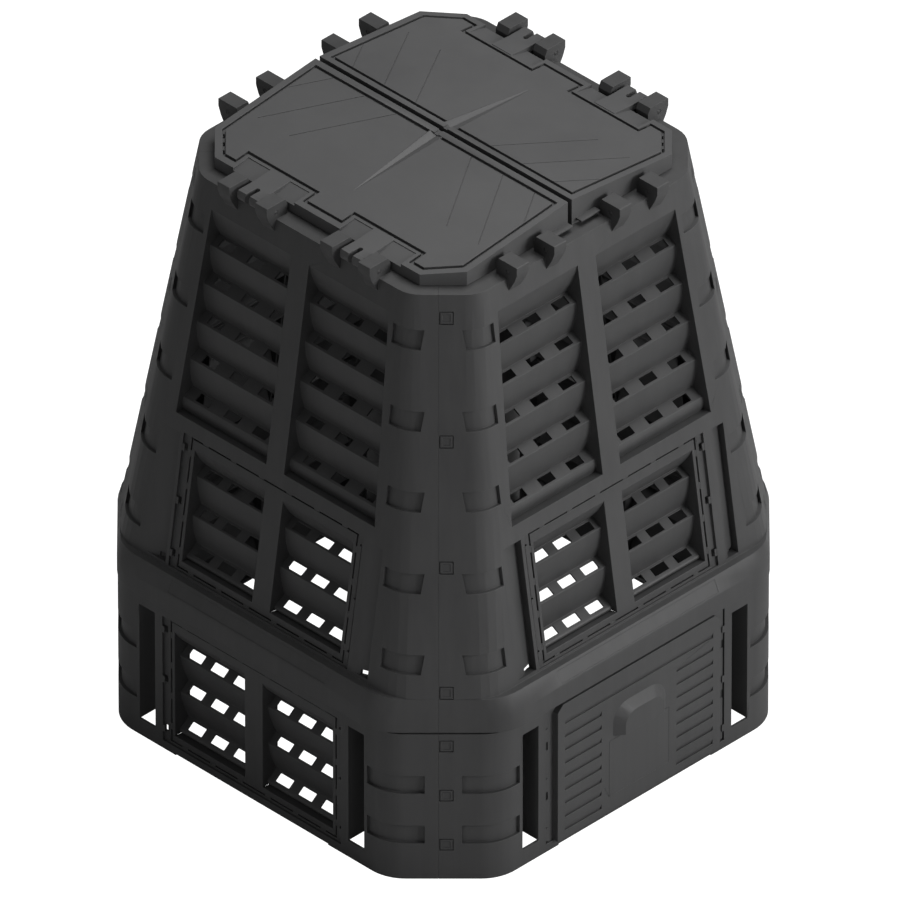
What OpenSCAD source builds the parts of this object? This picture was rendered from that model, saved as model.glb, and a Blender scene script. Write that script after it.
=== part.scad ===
// Four-sided garden compost bin: a straight base ring, a tapered upper body and a lid in two leaves.
// Millimetres, +Z up. The origin is on the ground at the centre of the bin.
// +X is the front, where the hatch door is, and +Y is the right side seen from the front.

/* [Base ring] */
// Height of the base ring
base_h = 330; // [310:5:360]
// Width of the base ring across its flat faces
base_w = 896; // [880:2:920]
// Leg of the chamfer on each corner of the base ring
base_leg = 134; // [124:1:144]
// Rounding where a chamfer meets a face at the base
base_round = 80; // [70:1:90]

/* [Upper body] */
// Height of the upper body above the base ring
upper_h = 749; // [720:1:790]
// How far the foot of the upper body stands in from the face of the base ring
ring_step = 9.5; // [6:0.5:13]
// Width across the faces at the rim
upper_w_top = 650; // [640:1:664]
// Leg of the corner chamfer at the bottom of the upper body
upper_leg_low = 114; // [108:1:120]
// Leg of the corner chamfer at the rim
upper_leg_top = 82; // [76:1:88]
// Corner rounding at the rim
upper_round_top = 55; // [48:1:62]
// Width of the flat rim that the lid rests on
rim_w = 48; // [44:1:54]

/* [Belt] */
// Height of the belt's top ledge above the joint between the two rings
belt_rise = 30; // [26:1:32]
// How far the apron stands out from the face of the base ring
apron_out = 13; // [12.5:0.5:16]
// How far the apron hangs down over the base ring
apron_drop = 33; // [28:1:36]
// How far the top ledge stands out from the sloping face
ledge_out = 13; // [10:0.5:16]

/* [Panels] */
// Wall thickness of the moulded panels
skin = 4; // [3.5:0.1:4.5]
// Width of the wall left at each side of a hatch opening
hatch_side = 253.5; // [248:0.5:262]
// Height of the wall left above the base hatch opening
hatch_head = 64.5; // [62:0.5:72]
// Height of the base hatch opening above the ground
hatch_z = 19; // [18:0.5:24]
// Depth of the recess round a hatch opening
recess_d = 5; // [4.5:0.1:6]
// How far the recess reaches past each side of a hatch opening
recess_out = 14.5; // [12:0.5:18]
// Gap between a vent panel and its opening
vent_gap = 4.5; // [4:0.1:5]

/* [Louvres] */
// Height from one ledge to the next
slat_pitch = 74; // [72:0.5:76]
// Depth of a slat's front edge behind the face
slat_front = 13; // [10:0.5:15]
// Depth of a slat's back edge behind the face
slat_back = 32; // [28:0.5:36]
// Rise of a ledge from front to back
slat_rise = 15; // [12:0.5:18]
// Thickness of a slat
slat_t = 3.2; // [2.5:0.1:4]
// Length of a vent hole
hole_l = 32; // [24:1:34]
// Width of a vent hole
hole_w = 16; // [10:0.5:17]

/* [Hatch door] */
// Thickness of the flange that slides in the recess
flange_t = 2.6; // [2:0.1:2.9]
// How far the door's tray stands out from the wall
door_out = 9; // [6:0.5:11]
// How far each edge of the tray stands in from the hatch opening
tray_in = 4.5; // [3:0.5:9]
// Travel of the door when it is lifted to free its flange
door_lift = 30; // [20:1:32]
// Width of the hooded grip
grip_w = 126; // [100:1:140]
// Height of the hooded grip
grip_h = 58; // [50:1:70]

/* [Lid] */
// How far the lid's skirt stands in from the edge of the rim
lid_in = 32; // [30:1:37]
// Leg of the lid's corner chamfer
lid_leg = 55; // [50:1:60]
// Height of the skirt at the eaves
lid_eaves = 22; // [20:0.5:26]
// Rise of each leaf from the eaves to the split
lid_rise = 30; // [24:0.5:34]
// Thickness of the lid's top and skirt
lid_t = 3.5; // [3:0.1:4]
// Gap between the leaves
split_gap = 9; // [6:0.5:12]
// Width of the raised rim round a leaf
lid_band = 12; // [10:0.5:14]
// Width of the groove inside the raised rim
lid_groove = 6; // [4:0.5:8]
// Depth of the groove
groove_depth = 5; // [3:0.5:6]

/* [Hinges] */
// Width of a lug
lug_w = 28; // [24:1:30]
// Distance from the middle of a side to its inner lugs
lug_in = 76; // [74:1:80]
// Distance from the middle of a side to its outer lugs
lug_out = 163; // [158:1:168]
// Height of a lug above the rim
lug_h = 30; // [28:0.5:33]
// Height of the hinge axis above the rim
hinge_h = 13; // [12.5:0.1:14]
// Radius of a knuckle
knuckle_r = 11; // [10:0.1:11.5]
// Radius of a stub pin
pin_r = 4; // [3.5:0.1:4.5]

/* [Corner clips] */
// Width of a clip's square head
clip_w = 22; // [20:0.5:24]
// Distance of the panel seam from the middle of a corner
seam = 8; // [7.5:0.5:9]

/* [Hidden] */

anthracite = [0.16, 0.16, 0.17];
dark_grey = [0.2, 0.2, 0.21];
black = [0.1, 0.1, 0.1];

// Overrun of a cut, thickness of a hull slice, and clearances
over = 1;
slice_t = 0.02;
lap_gap = 0.4;
run_gap = 0.3;
pin_gap = 0.06;
side_gap = 1.5;

// Facets: fine for exact rounds, coarse inside hulls
$fn = 64;
hull_fn = 32;

// Outline arithmetic for a square with chamfered, rounded corners
turn = 22.5;
diagonal = sqrt(2);
leg_loss_share = 2 - diagonal;
function inset_leg(leg, d) = leg - leg_loss_share * d;

base_half = base_w / 2;
base_diag = (base_w - base_leg) / diagonal;
rim_z = base_h + upper_h;
lid_w = upper_w_top - 2 * lid_in;
hatch_w = base_w - 2 * hatch_side;
hatch_h = base_h - hatch_z - hatch_head;
recess_w = hatch_w + 2 * recess_out;
tray_w = hatch_w - 2 * tray_in;
upper_w_low = base_w - 2 * ring_step;
low_half = upper_w_low / 2;
top_half = upper_w_top / 2;
low_diag = (upper_w_low - upper_leg_low) / diagonal;
top_diag = (upper_w_top - upper_leg_top) / diagonal;
face_slope = (low_half - top_half) / upper_h;
face_tilt = atan(face_slope);
diag_slope = (low_diag - top_diag) / upper_h;
diag_tilt = atan(diag_slope);

// Half-width of the sloping face, and its distance at a corner, at height z
function face_x(z) = low_half - face_slope * (z - base_h);
function diag_x(z) = low_diag - diag_slope * (z - base_h);
// Distance up the slope to height z
function up_face(z) = (z - base_h) / cos(face_tilt);
function up_diag(z) = (z - base_h) / cos(diag_tilt);

// Returns behind the openings
return_d = slat_back + slat_t + over;
return_t = 3;
foot_d = slat_back - 2 * slat_t;

// Places up the walls, as shares of the ring they belong to
upper_bay_shares = [0.4155, 0.936];
upper_bay_out_shares = [0.592, 0.62];
mullion = 20.8;
upper_hatch_rise = 36.5;
upper_hatch_z = base_h + upper_hatch_rise;
recess_edge = 3;
nib_shares = [0.09, 0.495, 0.905];
nib_h = 13;
nib_reach = 5;
nib_t = 2;
nib_hole = 7;

// Side slots of the base and side channels of the upper body
slot_off = 32;
slot_w = 36.5;
slot_in = hatch_w / 2 + slot_off;
slot_out = slot_in + slot_w;
slot_foot_share = 0.1;
slot_top_share = 0.806;
slot_return = 42;
channel_d = 14;
channel_off = [22, 32.5, 61.5];
channel_in_low = hatch_w / 2 + channel_off[0];
channel_in_high = hatch_w / 2 + channel_off[1];
channel_out = hatch_w / 2 + channel_off[2];
channel_hole = [20, 9];

// Pockets pressed into the corners
pocket_d = 6;
pocket_side = 31;
pocket_h = 36;
base_pocket_shares = [0.218, 0.523];
base_pocket_reach = 178;
upper_pocket_shares = [0.097, 0.29, 0.484, 0.675, 0.868];
upper_pocket_low = 150;
upper_pocket_top = 117;

// Corner clips
base_clip_shares = [0.21, 0.512, 0.814];
upper_clip_shares = [0.055, 0.353, 0.652, 0.9445];
clip_off = 5;
clip_gap = 1.6;
clip_stem = 10;
clip_barb = 14;
clip_barb_t = 4;
lap_root = 30;
lap_reach = 16;

// Belt
apron_t = 3;
web_t = 4;
joggle = skin + lap_gap;
joggle_z = base_h - apron_drop - web_t;
apron_half = base_half + apron_out;
apron_diag = base_diag + over;
apron_leg = 2 * apron_half - apron_diag * diagonal;
ledge_z = base_h + belt_rise;
ledge_half = face_x(ledge_z) + ledge_out;
ledge_diag = diag_x(ledge_z) + slice_t;
ledge_leg = 2 * ledge_half - ledge_diag * diagonal;
belt_tilt = atan((apron_half - ledge_half) / belt_rise);
belt_run = sqrt(pow(apron_half - ledge_half, 2) + pow(belt_rise, 2));
label_in = 10.5;
label_w = hatch_w - 2 * label_in;
label_share = 0.7;
label_d = 1;
toe_in = 16;
toe_w = hatch_w - 2 * toe_in;
toe_h = 2.4;

// Louvre profile
bulge = 3;
bulge_steps = 4;
slat_drop_share = 0.75;

// Vent panel and its tabs
vent_w = hatch_w - 2 * vent_gap;
vent_h = hatch_h - 2 * vent_gap;
vent_edge = 5;
vent_bay_out = vent_w / 2 - vent_edge;
vent_bay_foot = 10;
vent_bay_top = 16;
vent_first = 10;
vent_holes = 53;
upper_first = 26;
upper_holes = 66;
tab_w = 9;
tabs_across = 8;
tabs_up = 5;

// Hatch door
flange_w = recess_w - 2 * side_gap;
flange_foot = recess_edge - run_gap;
flange_top = 17;
tray_edge = 3;
tray_foot = -3;
tray_top = 23;
tray_t = 3;
tray_round = 12;
groove_n = 9;
groove_pitch = 27;
groove_foot = 12;
groove_h = 10;
groove_d = 3.2;
groove_off = 25;
groove_edge = 17;
groove_in = grip_w / 2 + groove_off;
groove_out = tray_w / 2 - groove_edge;
tray_face = 5.5;
field_w = 140;
field_foot = 28;
field_d = 0.4;
field_gap = 8;
grip_t = 3;
grip_out = 14;
grip_z = 148;
grip_slope_share = 0.72;
grip_shell_share = 0.88;
shoulder_steps = 6;
grip_side_share = 0.4;
grip_top_share = 0.45;

// Lid
lid_half = lid_w / 2;
lid_foot = rim_z + lap_gap;
eaves_z = rim_z + lid_eaves;
ridge_z = eaves_z + lid_rise;
lid_tilt = atan(lid_rise / lid_half);
notch_bead = 3;
drain_pitch = 30;
drain_l = 11;
drain_w = 2.6;
chamfer_drain_share = 0.7;
bracket_in = 49;
bracket_out = 198;
bracket_d = 38;
ramp_d = 9;
knuckle_gap = 6.5;
knuckle_slot = 9;
knuckle_flat_share = 0.75;
knuckle_nose_share = 0.3;
knuckle_slot_l = 24;
arm_t = 12;
pin_l = 8;
arm_rise = 1.2;
catch_out = 13;
catch_t = 3;
catch_z = 8;
catch_front = [-58, -6];
catch_back = [-58, -14];
score_d = 1.2;
score_w = 1.6;
score_shares = [0.25, 0.5, 0.75];
score_angle = 58;
valley_l = 216;
valley_w = 29;
gully_w = 9;

// Hinges
hinge_z = rim_z + hinge_h;
hinge_x = top_half;
lug_front = 22;
lug_back = 26;
lug_foot = 23;
lug_chamfer = 11;
lug_taper = 0.75;
knuckle_w = lug_out - lug_in - lug_w - 2 * knuckle_gap;
knuckle_mid = (lug_out + lug_in) / 2;

total_h = ridge_z + over;

// Square outline with chamfered corners, rounded with true arcs
module outline(half, leg, r) {
    cut = half - leg;
    t = r * tan(turn);
    k = t / diagonal;
    quarter = [[half, -(cut - t)], [half, cut - t], [half - k, cut + k], [cut + k, half - k]];
    polygon([for (a = [0:3]) for (p = quarter)
        [p[0] * cos(90 * a) - p[1] * sin(90 * a), p[0] * sin(90 * a) + p[1] * cos(90 * a)]]);
    for (a = [0:3]) rotate(90 * a) {
        translate([half - r, cut - t]) circle(r);
        translate([half - r, -(cut - t)]) circle(r);
    }
}

// Wedge of plan that one wall fills, from seam to seam
module wall_sector(z0, z1) {
    reach = base_w;
    q = seam * diagonal;
    translate([0, 0, z0]) linear_extrude(z1 - z0)
        polygon([[0, -q], [reach, -reach - q], [reach, reach - q]]);
}

// Frames: on the sloping face, and on the chamfer to its right
module on_slope() { translate([low_half, 0, base_h]) rotate([0, -face_tilt, 0]) children(); }
module on_chamfer() {
    rotate([0, 0, 45]) translate([low_diag, 0, base_h]) rotate([0, -diag_tilt, 0]) children();
}
module on_base_chamfer() { rotate([0, 0, 45]) translate([base_diag, 0, 0]) children(); }
module on_base_hatch() { translate([base_half, 0, hatch_z]) children(); }
module on_upper_hatch() { on_slope() translate([0, 0, up_face(upper_hatch_z)]) children(); }

// A prism whose outline lies in Y and Z, from x0 to x1
module prism_x(x0, x1, points) {
    translate([x0, 0, 0]) rotate([90, 0, 90]) linear_extrude(x1 - x0) polygon(points);
}
// A prism whose outline lies in X and Z, from y0 to y1
module prism_y(y0, y1, points) {
    translate([0, y1, 0]) rotate([90, 0, 0]) linear_extrude(y1 - y0) polygon(points);
}

// Louvre profile
// Front surface of the louvres from the foot of a bay, as points of depth and height
function slat_face(z0, z1, d0, d1) = [for (i = [0:bulge_steps]) let (s = i / bulge_steps)
    [-(d0 + (d1 - d0) * s) + bulge * sin(180 * s), z0 + (z1 - z0) * s]];
function louvre_line(n, first, h) = concat(
    slat_face(0, first, slat_front + (slat_back - slat_front) * slat_drop_share * first / slat_pitch, slat_front),
    [for (k = [0:n - 1]) let (z = first + k * slat_pitch, last = (k == n - 1))
        each slat_face(z + slat_rise, last ? h : z + slat_pitch, slat_back, last ? over : slat_front)],
    [[-over, h + return_t / 2]]);
function louvre_band(line) = concat(line,
    [for (i = [len(line) - 1:-1:0]) [line[i][0] - slat_t, line[i][1] - slat_t * slat_drop_share]]);

// Vent holes in the ledges of one bay, each row centred between the bay's two edges
module louvre_holes(y0, y1, y2, h, n, first, spacing) {
    for (k = [0:n - 1]) {
        z = first + k * slat_pitch + slat_rise / 2;
        far = y1 + (y2 - y1) * z / h;
        count = max(1, floor((far - y0 - hole_l) / spacing) + 1);
        for (j = [0:count - 1])
            translate([-(slat_front + slat_back) / 2, (y0 + far) / 2 + (j - (count - 1) / 2) * spacing, z])
                rotate([0, atan(slat_rise / (slat_back - slat_front)), 0])
                    cube([hole_w, hole_l, 2 * hole_w], center = true);
    }
}

// One bay of louvres between y0 and the slanting edge y1 to y2, h high
module louvre_bay(y0, y1, y2, h, n, first, spacing) {
    far = max(y1, y2);
    difference() {
        intersection() {
            prism_y(y0 - return_t / 2, far + return_t, louvre_band(louvre_line(n, first, h)));
            prism_x(-return_d - slat_t, over, [[y0 - return_t / 2, -return_t / 2], [y1 + return_t / 2, -return_t / 2],
                [y2 + return_t / 2, h + return_t / 2], [y0 - return_t / 2, h + return_t / 2]]);
        }
        louvre_holes(y0, y1, y2, h, n, first, spacing);
    }
}
module bay_frame(y0, y1, y2, h) {
    prism_x(-return_d, -skin / 2, [[y0 - return_t, -return_t], [y1 + return_t, -return_t],
        [y2 + return_t, h + return_t], [y0 - return_t, h + return_t]]);
}
module bay_cut(y0, y1, y2, h) {
    prism_x(-return_d - over, over, [[y0, 0], [y1, 0], [y2, h], [y0, h]]);
    translate([-return_d - over, y0, -return_t - over])
        cube([return_d + over - foot_d, y1 - y0, return_t + 2 * over]);
}
module both_sides() { children(); mirror([0, 1, 0]) children(); }

// Hatch surround, shared by both rings: x = 0 is the wall's face, z = 0 the foot of the opening
module hatch_seat(extra) {
    w = recess_w + 2 * skin;
    translate([-recess_d - skin, -w / 2, -recess_edge - skin])
        cube([recess_d + skin - over / 2, w, hatch_h + 2 * (recess_edge + skin) + extra]);
}
module hatch_cut(extra) {
    translate([-recess_d, -recess_w / 2, -recess_edge])
        cube([recess_d + apron_out, recess_w, hatch_h + 2 * recess_edge + extra]);
    translate([-return_d, -hatch_w / 2, 0]) cube([return_d, hatch_w, hatch_h]);
}
module nibs() {
    both_sides() for (s = nib_shares)
        translate([-nib_t, recess_w / 2 - nib_reach, s * hatch_h - nib_h / 2])
            cube([nib_t, nib_reach + over, nib_h]);
}

module nib_holes() {
    both_sides() for (s = nib_shares)
        translate([-recess_d - skin - over, recess_w / 2 - over - nib_hole, s * hatch_h - nib_h / 2])
            cube([skin + 2 * over, nib_hole, nib_h]);
}

// Base ring
module base_shell() {
    band_leg = base_leg + joggle * diagonal;
    difference() {
        union() {
            linear_extrude(joggle_z) outline(base_half, base_leg, base_round);
            translate([0, 0, joggle_z - web_t]) linear_extrude(web_t + base_h - joggle_z)
                outline(base_half, band_leg, base_round);
        }
        translate([0, 0, -over]) linear_extrude(joggle_z - web_t + over)
            outline(base_half - skin, inset_leg(base_leg, skin), base_round - skin);
        translate([0, 0, -over]) linear_extrude(base_h + 2 * over)
            outline(base_half - skin, inset_leg(band_leg, skin), base_round - skin);
    }
}
module base_pockets(grow, depth) {
    both_sides() for (s = base_pocket_shares)
        difference() {
            y0 = base_half - base_pocket_reach - grow;
            y1 = (base_diag - pocket_side) / diagonal + grow;
            translate([y0, y0, s * base_h - grow]) cube([base_half, y1 - y0, pocket_h + 2 * grow]);
            linear_extrude(base_h) outline(base_half - depth, inset_leg(base_leg, depth), base_round - depth);
        }
}
module base_pocket_backs() {
    intersection() {
        base_pockets(skin, pocket_d + skin);
        linear_extrude(base_h) outline(base_half - skin / 2, inset_leg(base_leg, skin / 2), base_round - skin / 2);
    }
}
module side_slot_returns() {
    foot = slot_foot_share * base_h;
    top = slot_top_share * base_h;
    both_sides() for (y = [slot_in - return_t, slot_out])
        translate([base_half - slot_return, y, foot]) cube([slot_return - over, return_t, top - foot]);
}
module side_slots() {
    foot = slot_foot_share * base_h;
    top = slot_top_share * base_h;
    both_sides() translate([base_half - slot_return - over, slot_in, foot])
        cube([slot_return + 2 * over, slot_out - slot_in, top - foot]);
}
// Tongue that laps behind the next wall, with its root joined to this one
module lap_tongue(z0, z1) {
    translate([-2 * skin - lap_gap, -lap_root, z0]) cube([skin, lap_root + lap_reach, z1 - z0]);
    translate([-2 * skin - lap_gap, -lap_root, z0])
        cube([2 * skin + lap_gap - over, lap_root - seam - over / 2, z1 - z0]);
}
module clip_window(z) {
    w = clip_w + clip_gap;
    translate([-skin - over, clip_off - w / 2, z - w / 2]) cube([skin + 2 * over, w, w]);
}
module clip_hole(z) {
    w = clip_stem + clip_gap;
    translate([-2 * skin - lap_gap - over, clip_off - w / 2, z - w / 2]) cube([skin + 2 * over, w, w]);
}
module clip(z) {
    stem_l = 2 * skin + lap_gap + run_gap + clip_barb_t;
    translate([-skin, clip_off - clip_w / 2, z - clip_w / 2]) cube([skin, clip_w, clip_w]);
    translate([-stem_l, clip_off - clip_stem / 2, z - clip_stem / 2])
        cube([stem_l - skin / 2, clip_stem, clip_stem]);
    translate([-stem_l, clip_off - clip_barb / 2, z - clip_stem / 2]) cube([clip_barb_t, clip_barb, clip_stem]);
}
module base_wall(extra) {
    color(anthracite) {
        difference() {
            union() {
                intersection() {
                    union() {
                        base_shell();
                        base_pocket_backs();
                    }
                    wall_sector(0, base_h);
                }
                on_base_hatch() hatch_seat(extra);
                side_slot_returns();
                on_base_chamfer() lap_tongue(over, joggle_z - web_t - over);
            }
            intersection() {
                base_pockets(0, pocket_d);
                wall_sector(0, base_h);
            }
            on_base_hatch() hatch_cut(extra);
            if (extra == 0) on_base_hatch() nib_holes();
            side_slots();
            rotate([0, 0, -90]) on_base_chamfer() for (s = base_clip_shares) clip_window(s * base_h);
            on_base_chamfer() for (s = base_clip_shares) clip_hole(s * base_h);
            translate([base_half - skin - recess_d, -toe_w / 2, -over])
                cube([skin + recess_d + over, toe_w, toe_h + over]);
        }
        on_base_hatch() nibs();
    }
}

// Upper body
module upper_slice(z, d) {
    share = (z - base_h) / upper_h;
    leg = upper_leg_low + (upper_leg_top - upper_leg_low) * share;
    r = base_round + (upper_round_top - base_round) * share;
    translate([0, 0, z]) linear_extrude(slice_t) outline(face_x(z) - d, inset_leg(leg, d), r - d, $fn = hull_fn);
}
module upper_hull(d) {
    hull() {
        upper_slice(d > 0 ? base_h - over : base_h + web_t / 2, d);
        upper_slice(d > 0 ? rim_z + over : rim_z - slice_t, d);
    }
}
// The belt's outer form from z0 up, d inside its face
module belt_hull(d, z0) {
    hull() {
        for (z = [z0, max(z0, base_h)]) translate([0, 0, z]) linear_extrude(slice_t)
            outline(apron_half - d, inset_leg(apron_leg, d), base_round - d, $fn = hull_fn);
        translate([0, 0, ledge_z - slice_t - d]) linear_extrude(slice_t)
            outline(ledge_half - d, inset_leg(ledge_leg, d), base_round - d, $fn = hull_fn);
    }
}
module belt() {
    difference() {
        belt_hull(0, base_h - apron_drop);
        translate([0, 0, base_h - apron_drop - over]) linear_extrude(apron_drop + over)
            outline(apron_half - apron_t, inset_leg(apron_leg, apron_t), base_round - apron_t);
        belt_hull(apron_t, base_h + web_t);
        // Slit that opens the hollow belt downwards, outside the wall of the base ring
        translate([base_half + over, -hatch_w / 2, base_h - over])
            cube([apron_out - apron_t - 2 * over, hatch_w, web_t + 2 * over]);
    }
}
module label_field() {
    translate([apron_half, 0, base_h]) rotate([0, -belt_tilt, 0])
        translate([-label_d, -label_w / 2, (1 - label_share) * belt_run / 2])
            cube([label_d + over, label_w, label_share * belt_run]);
}
module pocket_boxes(grow) {
    both_sides() for (s = upper_pocket_shares) {
        z = base_h + s * upper_h;
        out = upper_pocket_low + (upper_pocket_top - upper_pocket_low) * s;
        y0 = face_x(z) - out - grow;
        y1 = (diag_x(z + pocket_h) - pocket_side) / diagonal + grow;
        translate([y0, y0, z - grow]) cube([base_half, y1 - y0, pocket_h + 2 * grow]);
    }
}
module upper_shell() {
    difference() {
        union() {
            difference() {
                union() {
                    belt();
                    upper_hull(0);
                }
                upper_hull(skin);
            }
            difference() {
                intersection() {
                    pocket_boxes(skin);
                    upper_hull(skin / 2);
                }
                upper_hull(pocket_d + skin);
            }
        }
        difference() {
            pocket_boxes(0);
            upper_hull(pocket_d);
        }
    }
}
module rim() {
    translate([0, 0, rim_z - skin]) linear_extrude(skin) difference() {
        outline(top_half - over, inset_leg(upper_leg_top, over), upper_round_top - over);
        outline(top_half - rim_w, inset_leg(upper_leg_top, rim_w), upper_round_top - rim_w);
    }
}
function bay_out(s) = face_x(base_h + s * upper_h)
    * (upper_bay_out_shares[0] + (upper_bay_out_shares[1] - upper_bay_out_shares[0])
        * (s - upper_bay_shares[0]) / (upper_bay_shares[1] - upper_bay_shares[0]));
bay_z = up_face(base_h + upper_bay_shares[0] * upper_h);
bay_h = up_face(base_h + upper_bay_shares[1] * upper_h) - bay_z;
bay_low = bay_out(upper_bay_shares[0]);
bay_high = bay_out(upper_bay_shares[1]);
function ledge_count(h, first) = floor((h - first - slat_rise - slat_t) / slat_pitch) + 1;
bay_n = ledge_count(bay_h, upper_first);
vent_bay_h = vent_h - vent_bay_foot - vent_bay_top;
vent_n = ledge_count(vent_bay_h, vent_first);

// Side channel from t0, on the face, ramping in to t1, and the wall behind it
module channel_cut(t0, t1) {
    linear_extrude(hatch_h) polygon([[over, t0], [0, t0], [-channel_d, t1], [over, t1]]);
    translate([-channel_d - 2 * skin, t1 - channel_hole[0], 0]) cube([channel_d + 2 * skin, channel_hole[0], channel_hole[1]]);
}
module channel_back(t0, t1) {
    translate([0, 0, -skin]) linear_extrude(hatch_h + 2 * skin)
        polygon([[-over, t0 - skin], [-skin, t0 - skin], [-channel_d - skin, t1 - skin],
            [-channel_d - skin, t1 + skin], [-over, t1 + skin]]);
}
module lug(mid) {
    wall = face_x(rim_z - lug_foot);
    difference() {
        prism_y(mid - lug_w / 2, mid + lug_w / 2, [
            [hinge_x - lug_back, rim_z - over], [hinge_x - lug_back, rim_z + lug_h - lug_chamfer],
            [hinge_x - lug_back + lug_chamfer / 2, rim_z + lug_h], [hinge_x + lug_front - over, rim_z + lug_h],
            [hinge_x + lug_front, rim_z + lug_h - over], [hinge_x + lug_front, rim_z + lug_h / 2],
            [hinge_x + lug_front * lug_taper, rim_z], [wall, rim_z - lug_foot],
            [wall - skin / 2, rim_z - lug_foot], [hinge_x - skin / 2, rim_z - over]]);
        translate([hinge_x, mid, hinge_z]) rotate([90, 0, 0])
            cylinder(h = lug_w + 2 * over, r = pin_r + pin_gap, center = true);
    }
}
module upper_wall() {
    color(anthracite) {
        difference() {
            union() {
                intersection() {
                    union() {
                        upper_shell();
                        rim();
                    }
                    wall_sector(base_h - apron_drop - over, rim_z + over);
                }
                on_upper_hatch() hatch_seat(0);
                on_upper_hatch() channel_back(channel_in_high, channel_out);
                on_upper_hatch() channel_back(-channel_out - skin, -channel_in_low);
                on_slope() translate([0, 0, bay_z]) both_sides() bay_frame(mullion, bay_low, bay_high, bay_h);
                on_chamfer() lap_tongue(up_diag(ledge_z), up_diag(rim_z - 2 * skin));
            }
            on_upper_hatch() hatch_cut(0);
            on_upper_hatch() nib_holes();
            on_upper_hatch() channel_cut(channel_in_high, channel_out);
            on_upper_hatch() channel_cut(-channel_out - skin, -channel_in_low);
            on_slope() translate([0, 0, bay_z]) both_sides() bay_cut(mullion, bay_low, bay_high, bay_h);
            rotate([0, 0, -90]) on_chamfer() for (s = upper_clip_shares) clip_window(up_diag(base_h + s * upper_h));
            on_chamfer() for (s = upper_clip_shares) clip_hole(up_diag(base_h + s * upper_h));
            label_field();
        }
        on_upper_hatch() nibs();
        on_slope() translate([0, 0, bay_z]) both_sides()
            louvre_bay(mullion, bay_low, bay_high, bay_h, bay_n, upper_first, upper_holes);
        both_sides() for (y = [lug_in, lug_out]) lug(y);
    }
}

// Louvred panel that closes a hatch opening: x = 0 is its front face
module vent_tabs() {
    for (i = [0:tabs_across - 1]) for (z = [0, hatch_h - vent_gap])
        translate([-skin, (i + 0.5) * hatch_w / tabs_across - hatch_w / 2 - tab_w / 2, z])
            cube([skin, tab_w, vent_gap + (z > 0 ? 0 : slice_t)]);
    both_sides() for (i = [0:tabs_up - 1])
        translate([-skin, vent_w / 2 - slice_t, (i + 0.5) * hatch_h / tabs_up - tab_w / 2])
            cube([skin, vent_gap + slice_t, tab_w]);
}
module vent_panel() {
    bay = vent_bay_h;
    color(dark_grey) {
        difference() {
            union() {
                translate([-skin, -vent_w / 2, vent_gap]) cube([skin, vent_w, vent_h]);
                translate([0, 0, vent_gap + vent_bay_foot]) both_sides()
                    bay_frame(mullion, vent_bay_out, vent_bay_out, bay);
                vent_tabs();
            }
            translate([0, 0, vent_gap + vent_bay_foot]) both_sides()
                bay_cut(mullion, vent_bay_out, vent_bay_out, bay);
        }
        translate([0, 0, vent_gap + vent_bay_foot]) both_sides()
            louvre_bay(mullion, vent_bay_out, vent_bay_out, bay, vent_n, vent_first, vent_holes);
    }
}

// Hatch door: its flange slides behind the nibs
// Quarter of an ellipse for the grip's shoulder, s = -1 on the left and 1 on the right
function grip_shoulder(s, from, step) = [for (i = [from:step:shoulder_steps - from])
    let (a = 90 * i / shoulder_steps)
    [s * (grip_top_share + (1 - grip_top_share) * cos(a)), grip_side_share + (1 - grip_side_share) * sin(a)]];
function grip_outline(k) = [for (p = concat([[-1, 0]], grip_shoulder(-1, 0, 1),
    grip_shoulder(1, shoulder_steps, -1), [[1, 0]])) [p[0] * k * grip_w / 2, p[1] * k * grip_h]];
module grip_body(out, k) {
    hull() {
        prism_x(door_out - tray_t / 2, door_out - tray_t / 2 + slice_t, grip_outline(k));
        prism_x(door_out + out - slice_t, door_out + out, grip_outline(k * grip_slope_share));
    }
}
// Wedge pressed into the tray's face, deepest at its foot
module wedge(y0, y1, z) {
    prism_y(y0, y1, [[door_out - groove_d, z], [door_out + over, z], [door_out + over, z + groove_h],
        [door_out, z + groove_h]]);
}
module hatch_door() {
    floor_x = -recess_d + run_gap / 2;
    flange_h = hatch_h + flange_foot + flange_top;
    tray_h = hatch_h - tray_foot + tray_top;
    color(dark_grey) on_base_hatch() difference() {
        union() {
            difference() {
                translate([floor_x, -flange_w / 2, -flange_foot]) cube([flange_t, flange_w, flange_h]);
                both_sides() for (s = nib_shares)
                    translate([-recess_d - over, flange_w / 2 - nib_reach, s * hatch_h - door_lift - nib_h / 2 - side_gap])
                        cube([recess_d + over, nib_reach + over, nib_h + 2 * side_gap]);
            }
            intersection() {
                translate([floor_x, -tray_w / 2, tray_foot]) cube([door_out - floor_x, tray_w, tray_h]);
                prism_x(-recess_d, door_out + over, [[-tray_w / 2, tray_foot], [tray_w / 2, tray_foot],
                    [tray_w / 2, tray_h + tray_foot - tray_round], [tray_w / 2 - tray_round, tray_h + tray_foot],
                    [tray_round - tray_w / 2, tray_h + tray_foot], [-tray_w / 2, tray_h + tray_foot - tray_round]]);
            }
            translate([0, 0, grip_z]) grip_body(grip_out, 1);
        }
        translate([-recess_d - over, -tray_w / 2 + tray_t, tray_foot + tray_t])
            cube([recess_d + over + door_out - tray_face, tray_w - 2 * tray_t, tray_h - 2 * tray_t - tray_round]);
        translate([-grip_t / 2, 0, grip_z - grip_t]) grip_body(grip_out - grip_t / 2, grip_shell_share);
        both_sides() for (i = [0:groove_n - 2]) wedge(groove_in, groove_out, groove_foot + i * groove_pitch);
        wedge(-groove_out, groove_out, groove_foot + (groove_n - 1) * groove_pitch);
        translate([door_out - field_d, -field_w / 2, field_foot])
            cube([field_d + over, field_w, grip_z - field_gap - field_foot]);
    }
}

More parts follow.
